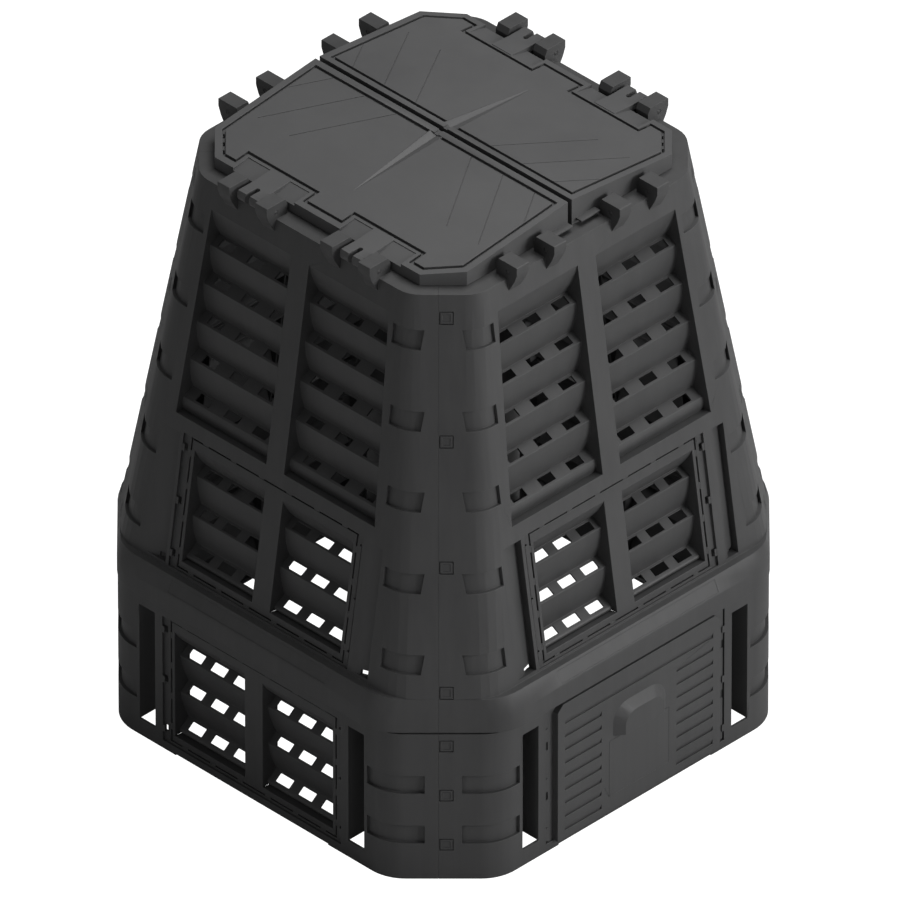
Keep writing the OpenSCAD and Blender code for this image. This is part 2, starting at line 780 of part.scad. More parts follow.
// Lid leaf on the -Y side
module lid_plan(inset) {
    half = lid_half - inset;
    leg = inset_leg(lid_leg, inset);
    near = -(split_gap / 2 + inset);
    polygon([[-half, near], [-half, leg - half], [leg - half, -half], [half - leg, -half], [half, leg - half],
        [half, near]]);
}
// Slab that follows the leaf's top, from depth d0 down to depth d1
module top_slab(d0, d1) {
    translate([0, 0, ridge_z]) rotate([lid_tilt, 0, 0])
        translate([-lid_w, -lid_w, -d1]) cube([2 * lid_w, lid_w + split_gap, d1 - d0]);
}
module lid_shell() {
    difference() {
        intersection() {
            translate([0, 0, lid_foot]) linear_extrude(ridge_z - lid_foot) lid_plan(0);
            top_slab(0, ridge_z);
        }
        intersection() {
            translate([0, 0, lid_foot - over]) linear_extrude(ridge_z - lid_foot) lid_plan(lid_t);
            top_slab(lid_t + groove_depth, ridge_z);
        }
        lid_hollow();
    }
}
// Hollow under the raised panel, clear of the hinges and the valley
module lid_hollow() {
    side = valley_w / 2 + lid_t;
    intersection() {
        linear_extrude(total_h) difference() {
            lid_plan(lid_band + lid_groove + lid_t);
            hinge_notches(notch_bead + lid_groove + lid_t);
            polygon([[-side, 0], [side, 0], [lid_t, -valley_l - lid_t], [-lid_t, -valley_l - lid_t]]);
        }
        top_slab(lid_t, lid_t + groove_depth + over);
    }
}
module hinge_notches(inset) {
    for (s = [-1, 1])
        translate([s > 0 ? bracket_in - inset : -bracket_out - inset, -lid_half, 0])
            square([bracket_out - bracket_in + 2 * inset, bracket_d + inset]);
}
module lid_groove_cut() {
    intersection() {
        linear_extrude(total_h) difference() {
            lid_plan(lid_band);
            difference() {
                lid_plan(lid_band + lid_groove);
                hinge_notches(notch_bead + lid_groove);
            }
            hinge_notches(notch_bead);
            translate([-valley_w / 2, -split_gap - lid_band - lid_groove]) square([valley_w, split_gap + lid_band + lid_groove]);
        }
        top_slab(-over, groove_depth);
    }
}
module drain_slots() {
    mid = lid_band + lid_groove / 2;
    clear = notch_bead + lid_groove;
    reach = lid_half - lid_leg - drain_l;
    long_n = floor(reach / drain_pitch);
    side_n = floor((reach - split_gap) / drain_pitch);
    linear_extrude(total_h) {
        for (i = [-long_n:long_n]) {
            at = abs(i * drain_pitch);
            if (at + drain_l / 2 < bracket_in - clear || at - drain_l / 2 > bracket_out + clear)
                translate([i * drain_pitch - drain_l / 2, -lid_half + mid - drain_w / 2]) square([drain_l, drain_w]);
            if (at - drain_l / 2 > bracket_in && at + drain_l / 2 < bracket_out)
                translate([i * drain_pitch - drain_l / 2, -lid_half + bracket_d + notch_bead + lid_groove / 2 - drain_w / 2])
                    square([drain_l, drain_w]);
        }
        for (s = [-1, 1]) translate([s * (lid_half - lid_leg / 2), lid_leg / 2 - lid_half]) rotate(s * 45)
            for (j = [-1, 0, 1]) translate([j * drain_pitch * chamfer_drain_share - drain_l / 2, mid - drain_w / 2])
                square([drain_l, drain_w]);
        for (x = [-lid_half + mid, lid_half - mid]) for (i = [1:side_n])
            translate([x - drain_w / 2, -i * drain_pitch - drain_l]) square([drain_w, drain_l]);
    }
}
// Sloping slabs over the spans of a hinge bracket, from z0 at the skirt, l long and h thick
module hinge_slabs(spans, z0, l, h) {
    for (i = [0, 1]) mirror([i, 0, 0]) for (span = spans)
        translate([span[0], -lid_half - over, z0]) rotate([atan(ramp_d / bracket_d), 0, 0])
            cube([span[1] - span[0], l, h]);
}
module knuckle(mid) {
    top = hinge_z + knuckle_r - lap_gap;
    root = -lid_half + bracket_d;
    root_z = eaves_z + bracket_d * lid_rise / lid_half;
    difference() {
        union() {
            translate([mid, -hinge_x, hinge_z]) rotate([0, 90, 0]) cylinder(h = knuckle_w, r = knuckle_r, center = true);
            prism_x(mid - knuckle_w / 2, mid + knuckle_w / 2, [[-hinge_x, top - arm_t],
                [-lid_half + lid_t / 2, top - arm_t], [-lid_half + lid_t / 2, eaves_z - ramp_d - lid_t],
                [root, eaves_z - lid_t], [root, root_z + arm_rise], [-lid_half, top],
                [-hinge_x - knuckle_flat_share * knuckle_r, top],
                [-hinge_x - knuckle_r, hinge_z + knuckle_nose_share * knuckle_r], [-hinge_x - knuckle_r, hinge_z]]);
        }
        translate([mid - knuckle_slot / 2, -hinge_x - knuckle_r - over, lid_foot])
            cube([knuckle_slot, knuckle_slot_l + over, 2 * lug_h]);
        translate([mid, -hinge_x - knuckle_r + knuckle_slot_l, lid_foot])
            cylinder(h = 2 * lug_h, r = knuckle_slot / 2 + lap_gap);
    }
    for (s = [-1, 1]) translate([mid + s * (knuckle_w / 2 - over), -hinge_x, hinge_z]) rotate([0, s * 90, 0])
        cylinder(h = pin_l + knuckle_gap + over, r = pin_r);
}
// Finger lip at the end of a leaf
module catch_lip(span) {
    translate([lid_half - over, span[0], lid_foot + catch_z])
        cube([catch_out + over, span[1] - span[0], catch_t]);
}
module score_lines() {
    run = lid_half * diagonal;
    intersection() {
        linear_extrude(total_h) for (s = [-1, 1]) for (share = score_shares)
            translate([s * share * lid_half, 0]) rotate(-s * score_angle)
                translate([-run / 2, -score_w / 2]) square([run, score_w]);
        top_slab(-over, score_d);
        linear_extrude(total_h) difference() {
            lid_plan(lid_band + lid_groove + over);
            hinge_notches(notch_bead + lid_groove + over);
        }
    }
}
// Valley pressed into the leaf, deepest at the split and running out along the leaf, with a gully to the split
module valley() {
    root = split_gap / 2 + lid_band;
    translate([0, 0, ridge_z]) rotate([lid_tilt, 0, 0]) {
        hull() {
            translate([0, -root, 0]) rotate([90, 0, 0]) linear_extrude(slice_t)
                polygon([[0, -groove_depth], [valley_w / 2, 0], [valley_w / 2, over], [-valley_w / 2, over],
                    [-valley_w / 2, 0]]);
            translate([-slice_t / 2, -valley_l, 0]) cube([slice_t, slice_t, over]);
        }
        translate([-gully_w / 2, -root - over, -groove_depth / 2]) cube([gully_w, lid_band + split_gap, groove_depth]);
    }
}
module lid_leaf() {
    color(anthracite) {
        difference() {
            lid_shell();
            lid_groove_cut();
            drain_slots();
            hinge_slabs([[bracket_in + lid_t, knuckle_mid - knuckle_w / 2 + lap_gap],
                [knuckle_mid + knuckle_w / 2 - lap_gap, bracket_out - lid_t]], eaves_z - ramp_d, bracket_d, 2 * ramp_d);
            score_lines();
            valley();
        }
        intersection() {
            hinge_slabs([[bracket_in, bracket_out]], eaves_z - ramp_d - lid_t, bracket_d + 2 * over, 2 * lid_t - over);
            translate([0, 0, lid_foot]) linear_extrude(ridge_z - lid_foot) lid_plan(0);
        }
        for (s = [-1, 1]) knuckle(s * knuckle_mid);
        catch_lip(catch_front);
        mirror([1, 0, 0]) catch_lip(catch_back);
    }
}

module at_side(i) { rotate([0, 0, 90 * i]) children(); }
module base_clips(i) { color(black) at_side(i) on_base_chamfer() for (s = base_clip_shares) clip(s * base_h); }
module upper_clips(i) {
    color(black) at_side(i) on_chamfer() for (s = upper_clip_shares) clip(up_diag(base_h + s * upper_h));
}
module base_vent(i) { at_side(i) on_base_hatch() translate([-recess_d, 0, 0]) vent_panel(); }
module upper_vent(i) { at_side(i) on_upper_hatch() translate([-recess_d, 0, 0]) vent_panel(); }

at_side(0) base_wall(door_lift + tray_top);  // base_wall_front
at_side(1) base_wall(0);  // base_wall_right
at_side(2) base_wall(0);  // base_wall_back
at_side(3) base_wall(0);  // base_wall_left
at_side(0) upper_wall();  // upper_wall_front
at_side(1) upper_wall();  // upper_wall_right
at_side(2) upper_wall();  // upper_wall_back
at_side(3) upper_wall();  // upper_wall_left
base_vent(1);  // base_vent_right
base_vent(2);  // base_vent_back
base_vent(3);  // base_vent_left
upper_vent(0);  // upper_vent_front
upper_vent(1);  // upper_vent_right
upper_vent(2);  // upper_vent_back
upper_vent(3);  // upper_vent_left
hatch_door();
lid_leaf();  // lid_leaf_left
rotate([0, 0, 180]) lid_leaf();  // lid_leaf_right
base_clips(0);  // base_clips_front_right
base_clips(1);  // base_clips_back_right
base_clips(2);  // base_clips_back_left
base_clips(3);  // base_clips_front_left
upper_clips(0);  // upper_clips_front_right
upper_clips(1);  // upper_clips_back_right
upper_clips(2);  // upper_clips_back_left
upper_clips(3);  // upper_clips_front_left
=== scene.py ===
"""Looks of the square garden compost bin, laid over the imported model.

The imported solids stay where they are. Walls, door and lid leaves keep their solids and get moulded edges
from modifiers. The louvred panels and the corner clips are made again by geometry nodes, because they repeat.
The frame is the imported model's: +X is the front, +Y the right side, +Z up. Sizes of pieces are given in
millimetres and become metres in their meshes. Lights, camera and finishes are given in metres.
"""

import logging
import math
from dataclasses import dataclass
from enum import Enum
from typing import Any, Callable, Iterable, Sequence

import bmesh
import bpy
from mathutils import Matrix, Vector


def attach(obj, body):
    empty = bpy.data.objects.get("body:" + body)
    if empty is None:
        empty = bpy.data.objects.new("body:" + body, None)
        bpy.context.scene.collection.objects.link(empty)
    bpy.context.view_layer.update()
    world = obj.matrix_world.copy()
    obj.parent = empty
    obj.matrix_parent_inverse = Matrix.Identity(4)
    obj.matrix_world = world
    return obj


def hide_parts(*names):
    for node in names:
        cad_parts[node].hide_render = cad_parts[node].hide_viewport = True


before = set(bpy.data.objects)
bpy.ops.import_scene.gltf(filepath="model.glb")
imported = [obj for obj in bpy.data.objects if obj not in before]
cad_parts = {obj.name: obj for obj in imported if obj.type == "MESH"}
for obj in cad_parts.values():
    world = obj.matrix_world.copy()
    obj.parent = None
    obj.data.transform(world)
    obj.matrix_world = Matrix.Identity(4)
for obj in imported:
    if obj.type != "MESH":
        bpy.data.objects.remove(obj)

LOG = logging.getLogger("compost_bin")
MM = 0.001
# Corners of a new mesh closer than this are one corner.
CORNER_JOIN = 0.01 * MM
# Copies of the slat pattern are joined where they are closer than this.
SLAT_JOIN = 0.02 * MM
# A Mix node that mixes colours has its two colours and its result at these sockets.
MIX_COLOURS = (6, 7)
MIX_RESULT = 2


class Side(Enum):
    """A side of the bin, by its quarter turns about +Z from the front."""

    FRONT = 0
    RIGHT = 1
    BACK = 2
    LEFT = 3

    @property
    def matrix(self) -> Matrix:
        """The turn from the front to this side."""
        return Matrix.Rotation(math.radians(90 * self.value), 4, "Z")

    @property
    def word(self) -> str:
        """The side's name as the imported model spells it."""
        return self.name.lower()

    @property
    def bears_no_lid(self) -> bool:
        """Whether no lid leaf hinges on this side, so that its lugs hold no pins."""
        return self in (Side.FRONT, Side.BACK)


class Corner(Enum):
    """A corner of the bin, by its quarter turns from the front right one."""

    FRONT_RIGHT = 0
    BACK_RIGHT = 1
    BACK_LEFT = 2
    FRONT_LEFT = 3

    @property
    def matrix(self) -> Matrix:
        """The turn from the front wall's frame to the frame of this corner's chamfer."""
        return Matrix.Rotation(math.radians(90 * self.value + 45), 4, "Z")

    @property
    def word(self) -> str:
        """The corner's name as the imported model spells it."""
        return self.name.lower()


class Ring(Enum):
    """The two rings that the bin is stacked from."""

    BASE = "base"
    UPPER = "upper"


class Socket(Enum):
    """Kinds of input and output that the node groups use."""

    NUMBER = "NodeSocketFloat"
    COUNT = "NodeSocketInt"
    VECTOR = "NodeSocketVector"
    SHAPE = "NodeSocketGeometry"
    FINISH = "NodeSocketMaterial"
    PIECE = "NodeSocketObject"


class Graph:
    """A node tree with short calls to add and join its nodes."""

    def __init__(self, tree: bpy.types.NodeTree) -> None:
        """Wraps a tree.

        Args:
            tree: The node tree to build in.
        """
        self.tree = tree

    def add(self, kind: str, values: dict[Any, Any] | None = None, **settings: Any) -> bpy.types.Node:
        """Adds a node.

        Args:
            kind: Blender's name of the node type.
            values: Input name or number to a constant, or to an output socket to join.
            settings: Properties of the node itself.

        Returns:
            The new node.
        """
        node = self.tree.nodes.new(kind)
        for key, value in settings.items():
            setattr(node, key, value)
        for key, value in (values or {}).items():
            self.feed(node.inputs[key], value)
        return node

    def feed(self, socket: bpy.types.NodeSocket, value: Any) -> None:
        """Joins an output to a socket, or sets the socket's own value.

        Args:
            socket: The input to feed.
            value: An output socket or a constant.
        """
        if isinstance(value, bpy.types.NodeSocket):
            self.tree.links.new(value, socket)
        else:
            socket.default_value = value

    def maths(self, operation: str, *values: Any) -> bpy.types.NodeSocket:
        """Adds a Math node and returns its output.

        Args:
            operation: Blender's name of the operation.
            values: One to three numbers or outputs.

        Returns:
            The result's socket.
        """
        return self.add("ShaderNodeMath", dict(enumerate(values)), operation=operation).outputs[0]

    def vector(self, x: Any, y: Any, z: Any) -> bpy.types.NodeSocket:
        """Joins three numbers or outputs to one vector and returns its socket."""
        return self.add("ShaderNodeCombineXYZ", {"X": x, "Y": y, "Z": z}).outputs[0]


def new_group(name: str, kind: str, inputs: dict[str, tuple[Socket, Any]],
              outputs: dict[str, Socket]) -> Graph:
    """Makes a node group with named sockets.

    Args:
        name: The group's name.
        kind: "ShaderNodeTree" or "GeometryNodeTree".
        inputs: Name to the kind of socket and its default, or None for no default.
        outputs: Name to the kind of socket.

    Returns:
        The group's graph. Its inputs node is named "In" and its outputs node "Out".
    """
    tree = bpy.data.node_groups.new(name, kind)
    for label, (socket, default) in inputs.items():
        made = tree.interface.new_socket(label, in_out="INPUT", socket_type=socket.value)
        if default is not None:
            made.default_value = default
    for label, socket in outputs.items():
        tree.interface.new_socket(label, in_out="OUTPUT", socket_type=socket.value)
    graph = Graph(tree)
    graph.add("NodeGroupInput", name="In")
    graph.add("NodeGroupOutput", name="Out")
    return graph


# Surface effects


@dataclass
class SurfaceEffects:
    """Shader node groups that every plastic of the bin shares.

    Attributes:
        grain_detail: Octaves of the mould's fine grain.
        grain_rough: How much its finer octaves count.
        pits: Pits of the mould to a grain cell.
        pit_share: Share of the pits in the grain's height.
        flow_detail: Octaves of the flow marks.
        flow_rough: How much their finer octaves count.
        flow_band: Noise levels where a flow mark starts and where it is full.
        cloud_detail: Octaves of the cloudy tone.
        cloud_rough: How much its finer octaves count.
        cloud_band: Noise levels where a cloudy patch starts and where it is full.
    """

    grain_detail: float = 2.0
    grain_rough: float = 0.55
    pits: float = 0.6
    pit_share: float = 0.5
    flow_detail: float = 3.0
    flow_rough: float = 0.6
    flow_band: tuple[float, float] = (0.35, 0.7)
    cloud_detail: float = 6.0
    cloud_rough: float = 0.62
    cloud_band: tuple[float, float] = (0.3, 0.72)

    def __post_init__(self) -> None:
        """Builds the three groups once."""
        self.grain = self._grain()
        self.flow = self._flow()
        self.cloud = self._cloud()

    @staticmethod
    def _mask(g: Graph, noise: bpy.types.NodeSocket, band: tuple[float, float]) -> None:
        """Stretches a band of a noise to 0 to 1 and sends it out as the group's mask.

        Args:
            g: The group.
            noise: The noise's output.
            band: Noise levels that become 0 and 1.
        """
        low, high = band
        mask = g.add("ShaderNodeMapRange", {"Value": noise, "From Min": low, "From Max": high})
        g.feed(g.tree.nodes["Out"].inputs["Mask"], mask.outputs[0])

    def _grain(self) -> bpy.types.NodeTree:
        """Makes the fine spark-eroded grain of the mould, as a height from 0 to 1.

        Returns:
            The group.
        """
        g = new_group("mould grain", "ShaderNodeTree",
                      {"Vector": (Socket.VECTOR, None), "Cells per metre": (Socket.NUMBER, 600.0)},
                      {"Height": Socket.NUMBER})
        src = g.tree.nodes["In"].outputs
        fine = g.add("ShaderNodeTexNoise", {"Vector": src["Vector"], "Scale": src["Cells per metre"],
                                            "Detail": self.grain_detail, "Roughness": self.grain_rough})
        scale = g.maths("MULTIPLY", src["Cells per metre"], self.pits)
        pits = g.add("ShaderNodeTexVoronoi", {"Vector": src["Vector"], "Scale": scale}, feature="SMOOTH_F1")
        rest = g.maths("MULTIPLY", fine.outputs[0], 1 - self.pit_share)
        height = g.maths("MULTIPLY_ADD", pits.outputs["Distance"], self.pit_share, rest)
        g.feed(g.tree.nodes["Out"].inputs["Height"], height)
        return g.tree

    def _flow(self) -> bpy.types.NodeTree:
        """Makes the faint upright marks that hot plastic leaves as it fills a tall mould.

        Returns:
            The group, with a mask from 0 to 1.
        """
        g = new_group("flow marks", "ShaderNodeTree",
                      {"Vector": (Socket.VECTOR, None), "Lines per metre": (Socket.NUMBER, 60.0),
                       "Length ratio": (Socket.NUMBER, 0.03)},
                      {"Mask": Socket.NUMBER})
        src = g.tree.nodes["In"].outputs
        squeeze = g.vector(1.0, 1.0, src["Length ratio"])
        drawn = g.add("ShaderNodeVectorMath", {0: src["Vector"], 1: squeeze}, operation="MULTIPLY")
        noise = g.add("ShaderNodeTexNoise", {"Vector": drawn.outputs[0], "Scale": src["Lines per metre"],
                                             "Detail": self.flow_detail, "Roughness": self.flow_rough})
        self._mask(g, noise.outputs[0], self.flow_band)
        return g.tree

    def _cloud(self) -> bpy.types.NodeTree:
        """Makes the broad cloudy change of tone that handling and fine dust leave.

        Returns:
            The group, with a mask from 0 to 1.
        """
        g = new_group("cloudy tone", "ShaderNodeTree",
                      {"Vector": (Socket.VECTOR, None), "Patches per metre": (Socket.NUMBER, 5.0)},
                      {"Mask": Socket.NUMBER})
        src = g.tree.nodes["In"].outputs
        noise = g.add("ShaderNodeTexNoise", {"Vector": src["Vector"], "Scale": src["Patches per metre"],
                                             "Detail": self.cloud_detail, "Roughness": self.cloud_rough})
        self._mask(g, noise.outputs[0], self.cloud_band)
        return g.tree


@dataclass(frozen=True)
class MouldedPlastic:
    """A through-coloured matte polypropylene.

    Attributes:
        name: The material's name.
        dark: Linear grey of the bare plastic.
        light: Linear grey where it is scuffed or dusty.
        roughness: Lowest roughness.
        spread: How much rougher the cloudy patches are.
        grain: Grain cells in a metre.
        depth: Height of the grain in metres.
        flow: Share of the upright flow marks in the tone.
        cool: Blue against grey, where the plastic is bare and where it is dusty.
        bump: Strength of the grain.
        shine: Specular level.
    """

    name: str
    dark: float
    light: float
    roughness: float = 0.5
    spread: float = 0.12
    grain: float = 650.0
    depth: float = 0.00012
    flow: float = 0.35
    cool: tuple[float, float] = (1.02, 1.01)
    bump: float = 0.5
    shine: float = 0.42

    def material(self, effects: SurfaceEffects) -> bpy.types.Material:
        """Builds the material.

        Args:
            effects: The shared node groups.

        Returns:
            The finished material.
        """
        made = bpy.data.materials.new(self.name)
        made.use_nodes = True
        g = Graph(made.node_tree)
        shader = made.node_tree.nodes["Principled BSDF"]
        place = g.add("ShaderNodeTexCoord").outputs["Object"]
        grain = g.add("ShaderNodeGroup", node_tree=effects.grain)
        flow = g.add("ShaderNodeGroup", node_tree=effects.flow)
        cloud = g.add("ShaderNodeGroup", node_tree=effects.cloud)
        for node in (grain, flow, cloud):
            g.feed(node.inputs["Vector"], place)
        grain.inputs["Cells per metre"].default_value = self.grain
        patches = g.maths("MULTIPLY", cloud.outputs[0], 1 - self.flow)
        tone = g.maths("MULTIPLY_ADD", flow.outputs[0], self.flow, patches)
        mix = g.add("ShaderNodeMix", {"Factor": tone}, data_type="RGBA")
        for number, grey, cool in zip(MIX_COLOURS, (self.dark, self.light), self.cool):
            mix.inputs[number].default_value = (grey, grey, grey * cool, 1)
        g.feed(shader.inputs["Base Color"], mix.outputs[MIX_RESULT])
        rough = g.maths("MULTIPLY_ADD", cloud.outputs[0], self.spread, self.roughness)
        g.feed(shader.inputs["Roughness"], rough)
        bump = g.add("ShaderNodeBump",
                     {"Height": grain.outputs[0], "Strength": self.bump, "Distance": self.depth})
        g.feed(shader.inputs["Normal"], bump.outputs[0])
        shader.inputs["Specular IOR Level"].default_value = self.shine
        return made


@dataclass(frozen=True)
class SoftEdges:
    """Rounds the edges of a solid the way a mould does.

    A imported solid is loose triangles, so its corners are merged first. The faces beside a rounding keep their
    own normals, so that flat faces stay flat and the solid's own rounds stay smooth.

    Attributes:
        radius: Width of the rounding in metres.
        segments: Faces across the rounding.
        from_angle: Least angle between faces that gets rounded, in degrees.
        merge: Distance within which corners become one, or 0 for a piece that is made here.
        weight: How much larger faces count in the normals, of 100.
    """

    radius: float = 1.2 * MM
    segments: int = 2
    from_angle: float = 26.0
    merge: float = 0.06 * MM
    weight: int = 50

    def finish(self, piece: bpy.types.Object) -> None:
        """Adds the modifiers to a piece.

        Args:
            piece: The mesh object to finish.
        """
        if self.merge > 0:
            weld = piece.modifiers.new("weld", "WELD")
            weld.merge_threshold = self.merge
        edge = piece.modifiers.new("edge", "BEVEL")
        edge.width = self.radius
        edge.segments = self.segments
        edge.limit_method = "ANGLE"
        edge.angle_limit = math.radians(self.from_angle)
        edge.use_clamp_overlap = False
        edge.miter_outer = "MITER_ARC"
        edge.face_strength_mode = "FSTR_ALL"
        shade = piece.modifiers.new("shade", "WEIGHTED_NORMAL")
        shade.use_face_influence = True
        shade.mode = "FACE_AREA"
        shade.weight = self.weight
        shade.keep_sharp = False


# Meshes and trees


class Sheet:
    """A mesh that is put together from corners in millimetres."""

    def __init__(self) -> None:
        """Starts an empty mesh."""
        self.points: list[tuple[float, float, float]] = []
        self.faces: list[tuple[int, ...]] = []

    def face(self, *corners: tuple[float, float, float]) -> None:
        """Adds one face.

        Args:
            corners: The face's corners, anticlockwise as seen from its front.
        """
        start = len(self.points)
        self.points.extend(corners)
        self.faces.append(tuple(range(start, start + len(corners))))

    def ribbon(self, line: Sequence[tuple[float, float]], across: Sequence[float],
               gap: Callable[[int, int], bool]) -> None:
        """Sweeps a profile across the panel.

        Args:
            line: Points of depth behind the face and height, from the foot up.
            across: Places of the sheet's columns along Y, in rising order.
            gap: Says whether the cell of a row and a column is left open.
        """
        for row in range(len(line) - 1):
            (d0, z0), (d1, z1) = line[row], line[row + 1]
            for column in range(len(across) - 1):
                if not gap(row, column):
                    y0, y1 = across[column], across[column + 1]
                    self.face((-d0, y0, z0), (-d0, y1, z0), (-d1, y1, z1), (-d1, y0, z1))

    def box(self, low: Sequence[float], high: Sequence[float], open_front: bool = False) -> None:
        """Adds a box between two corners.

        Args:
            low: The lowest corner.
            high: The highest corner.
            open_front: Whether the +X face is left out.
        """
        (x0, y0, z0), (x1, y1, z1) = low, high
        self.face((x0, y0, z0), (x0, y1, z0), (x1, y1, z0), (x1, y0, z0))
        self.face((x0, y0, z1), (x1, y0, z1), (x1, y1, z1), (x0, y1, z1))
        self.face((x0, y0, z0), (x1, y0, z0), (x1, y0, z1), (x0, y0, z1))
        self.face((x1, y1, z0), (x0, y1, z0), (x0, y1, z1), (x1, y1, z1))
        self.face((x0, y1, z0), (x0, y0, z0), (x0, y0, z1), (x0, y1, z1))
        if not open_front:
            self.face((x1, y0, z0), (x1, y1, z0), (x1, y1, z1), (x1, y0, z1))

    def piece(self, name: str) -> bpy.types.Object:
        """Makes the mesh object, in metres, with corners that meet joined.

        Args:
            name: The object's name.

        Returns:
            The object, linked to the scene at the origin.
        """
        mesh = bpy.data.meshes.new(name)
        mesh.from_pydata([(x * MM, y * MM, z * MM) for x, y, z in self.points], [], self.faces)
        work = bmesh.new()
        work.from_mesh(mesh)
        bmesh.ops.remove_doubles(work, verts=work.verts, dist=CORNER_JOIN)
        work.to_mesh(mesh)
        work.free()
        made = bpy.data.objects.new(name, mesh)
        bpy.context.scene.collection.objects.link(made)
        return made


def grow(piece: bpy.types.Object, graph: Graph, values: dict[str, Any], place: Matrix) -> None:
    """Runs a geometry tree on a piece, keeps the result as its plain mesh and puts it in its place.

    Args:
        piece: The object whose mesh goes in and whose mesh is replaced.
        graph: The tree.
        values: Input name to value.
        place: Matrix from the piece's own frame to the bin's.
    """
    modifier = piece.modifiers.new(graph.tree.name, "NODES")
    modifier.node_group = graph.tree
    for item in graph.tree.interface.items_tree:
        if item.item_type == "SOCKET" and item.in_out == "INPUT" and item.name in values:
            modifier[item.identifier] = values[item.name]
    depsgraph = bpy.context.evaluated_depsgraph_get()
    shape = bpy.data.meshes.new_from_object(piece.evaluated_get(depsgraph))
    piece.modifiers.remove(modifier)
    piece.data = shape
    shape.transform(place)
    shape.shade_smooth()


def discard(piece: bpy.types.Object) -> None:
    """Removes a pattern piece once its copies are made."""
    bpy.data.objects.remove(piece, do_unlink=True)


def end_tree(g: Graph, shape: bpy.types.NodeSocket) -> None:
    """Ends a geometry tree: copies become real meshes and all of it gets the finish.

    Args:
        g: The tree, which has an input Finish.
        shape: The geometry so far.
    """
    real = g.add("GeometryNodeRealizeInstances", {"Geometry": shape})
    finish = g.tree.nodes["In"].outputs["Finish"]
    dressed = g.add("GeometryNodeSetMaterial", {"Geometry": real.outputs[0], "Material": finish})
    g.feed(g.tree.nodes["Out"].inputs["Geometry"], dressed.outputs[0])


def copies_graph(name: str) -> Graph:
    """Makes the tree that sets a copy of a pattern piece on each point of a mesh.

    A copy is turned about +Z by its point's attribute "turn", if the mesh has one.

    Args:
        name: The tree's name.

    Returns:
        The tree, with inputs Geometry, Pattern and Finish.
    """
    g = new_group(name, "GeometryNodeTree",
                  {"Geometry": (Socket.SHAPE, None), "Pattern": (Socket.PIECE, None),
                   "Finish": (Socket.FINISH, None)},
                  {"Geometry": Socket.SHAPE})
    src = g.tree.nodes["In"].outputs
    pattern = g.add("GeometryNodeObjectInfo", {"Object": src["Pattern"]})
    turn = g.add("GeometryNodeInputNamedAttribute", {"Name": "turn"}, data_type="FLOAT")
    about_z = g.vector(0.0, 0.0, turn.outputs["Attribute"])
    copies = g.add("GeometryNodeInstanceOnPoints",
                   {"Points": src["Geometry"], "Instance": pattern.outputs["Geometry"], "Rotation": about_z})
    end_tree(g, copies.outputs[0])
    return g


# The bin's outline


@dataclass(frozen=True)
class Outline:
    """Sizes that every sub-assembly lines up with, in millimetres.

    Attributes:
        base_half: Half the width of the base ring.
        base_height: Height of the base ring.
        base_leg: Leg of the base ring's corner chamfer.
        low_half: Half the width of the upper body at its foot.
        low_leg: Leg of its chamfer there.
        top_half: Half its width at its top.
        top_leg: Leg of its chamfer there.
        upper_height: Height of the upper body.
        hatch_foot: Height of the base's hatch openings above the ground.
        upper_hatch_rise: Height of the upper body's openings above its foot.
        hatch_width: Width of an opening.
        hatch_height: Height of an opening.
        recess: Depth of the recess round an opening.
    """

    base_half: float = 448.0
    base_height: float = 330.0
    base_leg: float = 134.0
    low_half: float = 438.5
    low_leg: float = 114.0
    top_half: float = 325.0
    top_leg: float = 82.0
    upper_height: float = 749.0
    hatch_foot: float = 19.0
    upper_hatch_rise: float = 36.5
    hatch_width: float = 389.0
    hatch_height: float = 246.5
    recess: float = 5.0

    @property
    def tilt(self) -> float:
        """Lean of the upper body's faces, in radians."""
        return math.atan((self.low_half - self.top_half) / self.upper_height)

    @property
    def corner_tilt(self) -> float:
        """Lean of the upper body's corners, in radians."""
        low, top = self.reach(self.low_half, self.low_leg), self.reach(self.top_half, self.top_leg)
        return math.atan((low - top) / self.upper_height)

    @staticmethod
    def reach(half: float, leg: float) -> float:
        """Distance of a chamfer from the middle of a ring."""
        return (2 * half - leg) / math.sqrt(2)

    def hatch(self, ring: Ring, side: Side) -> Matrix:
        """Frame of a hatch opening: X out of the recess, Z up from the opening's foot.

        Args:
            ring: The ring that holds the opening.
            side: The side of the bin.

        Returns:
            The matrix, in metres.
        """
        if ring is Ring.BASE:
            place = Matrix.Translation(Vector((self.base_half, 0, self.hatch_foot)) * MM)
        else:
            up = self.upper_hatch_rise / math.cos(self.tilt)
            place = (Matrix.Translation(Vector((self.low_half, 0, self.base_height)) * MM)
                     @ Matrix.Rotation(-self.tilt, 4, "Y") @ Matrix.Translation(Vector((0, 0, up)) * MM))
        return side.matrix @ place @ Matrix.Translation(Vector((-self.recess, 0, 0)) * MM)

    def corner(self, ring: Ring, corner: Corner) -> Matrix:
        """Frame of a chamfer: X out of it, Z up along it from the ring's foot.

        Args:
            ring: The ring that has the chamfer.
            corner: The corner of the bin.

        Returns:
            The matrix, in metres.
        """
        if ring is Ring.BASE:
            base = self.reach(self.base_half, self.base_leg)
            return corner.matrix @ Matrix.Translation(Vector((base, 0, 0)) * MM)
        low = self.reach(self.low_half, self.low_leg)
        return (corner.matrix @ Matrix.Translation(Vector((low, 0, self.base_height)) * MM)
                @ Matrix.Rotation(-self.corner_tilt, 4, "Y"))


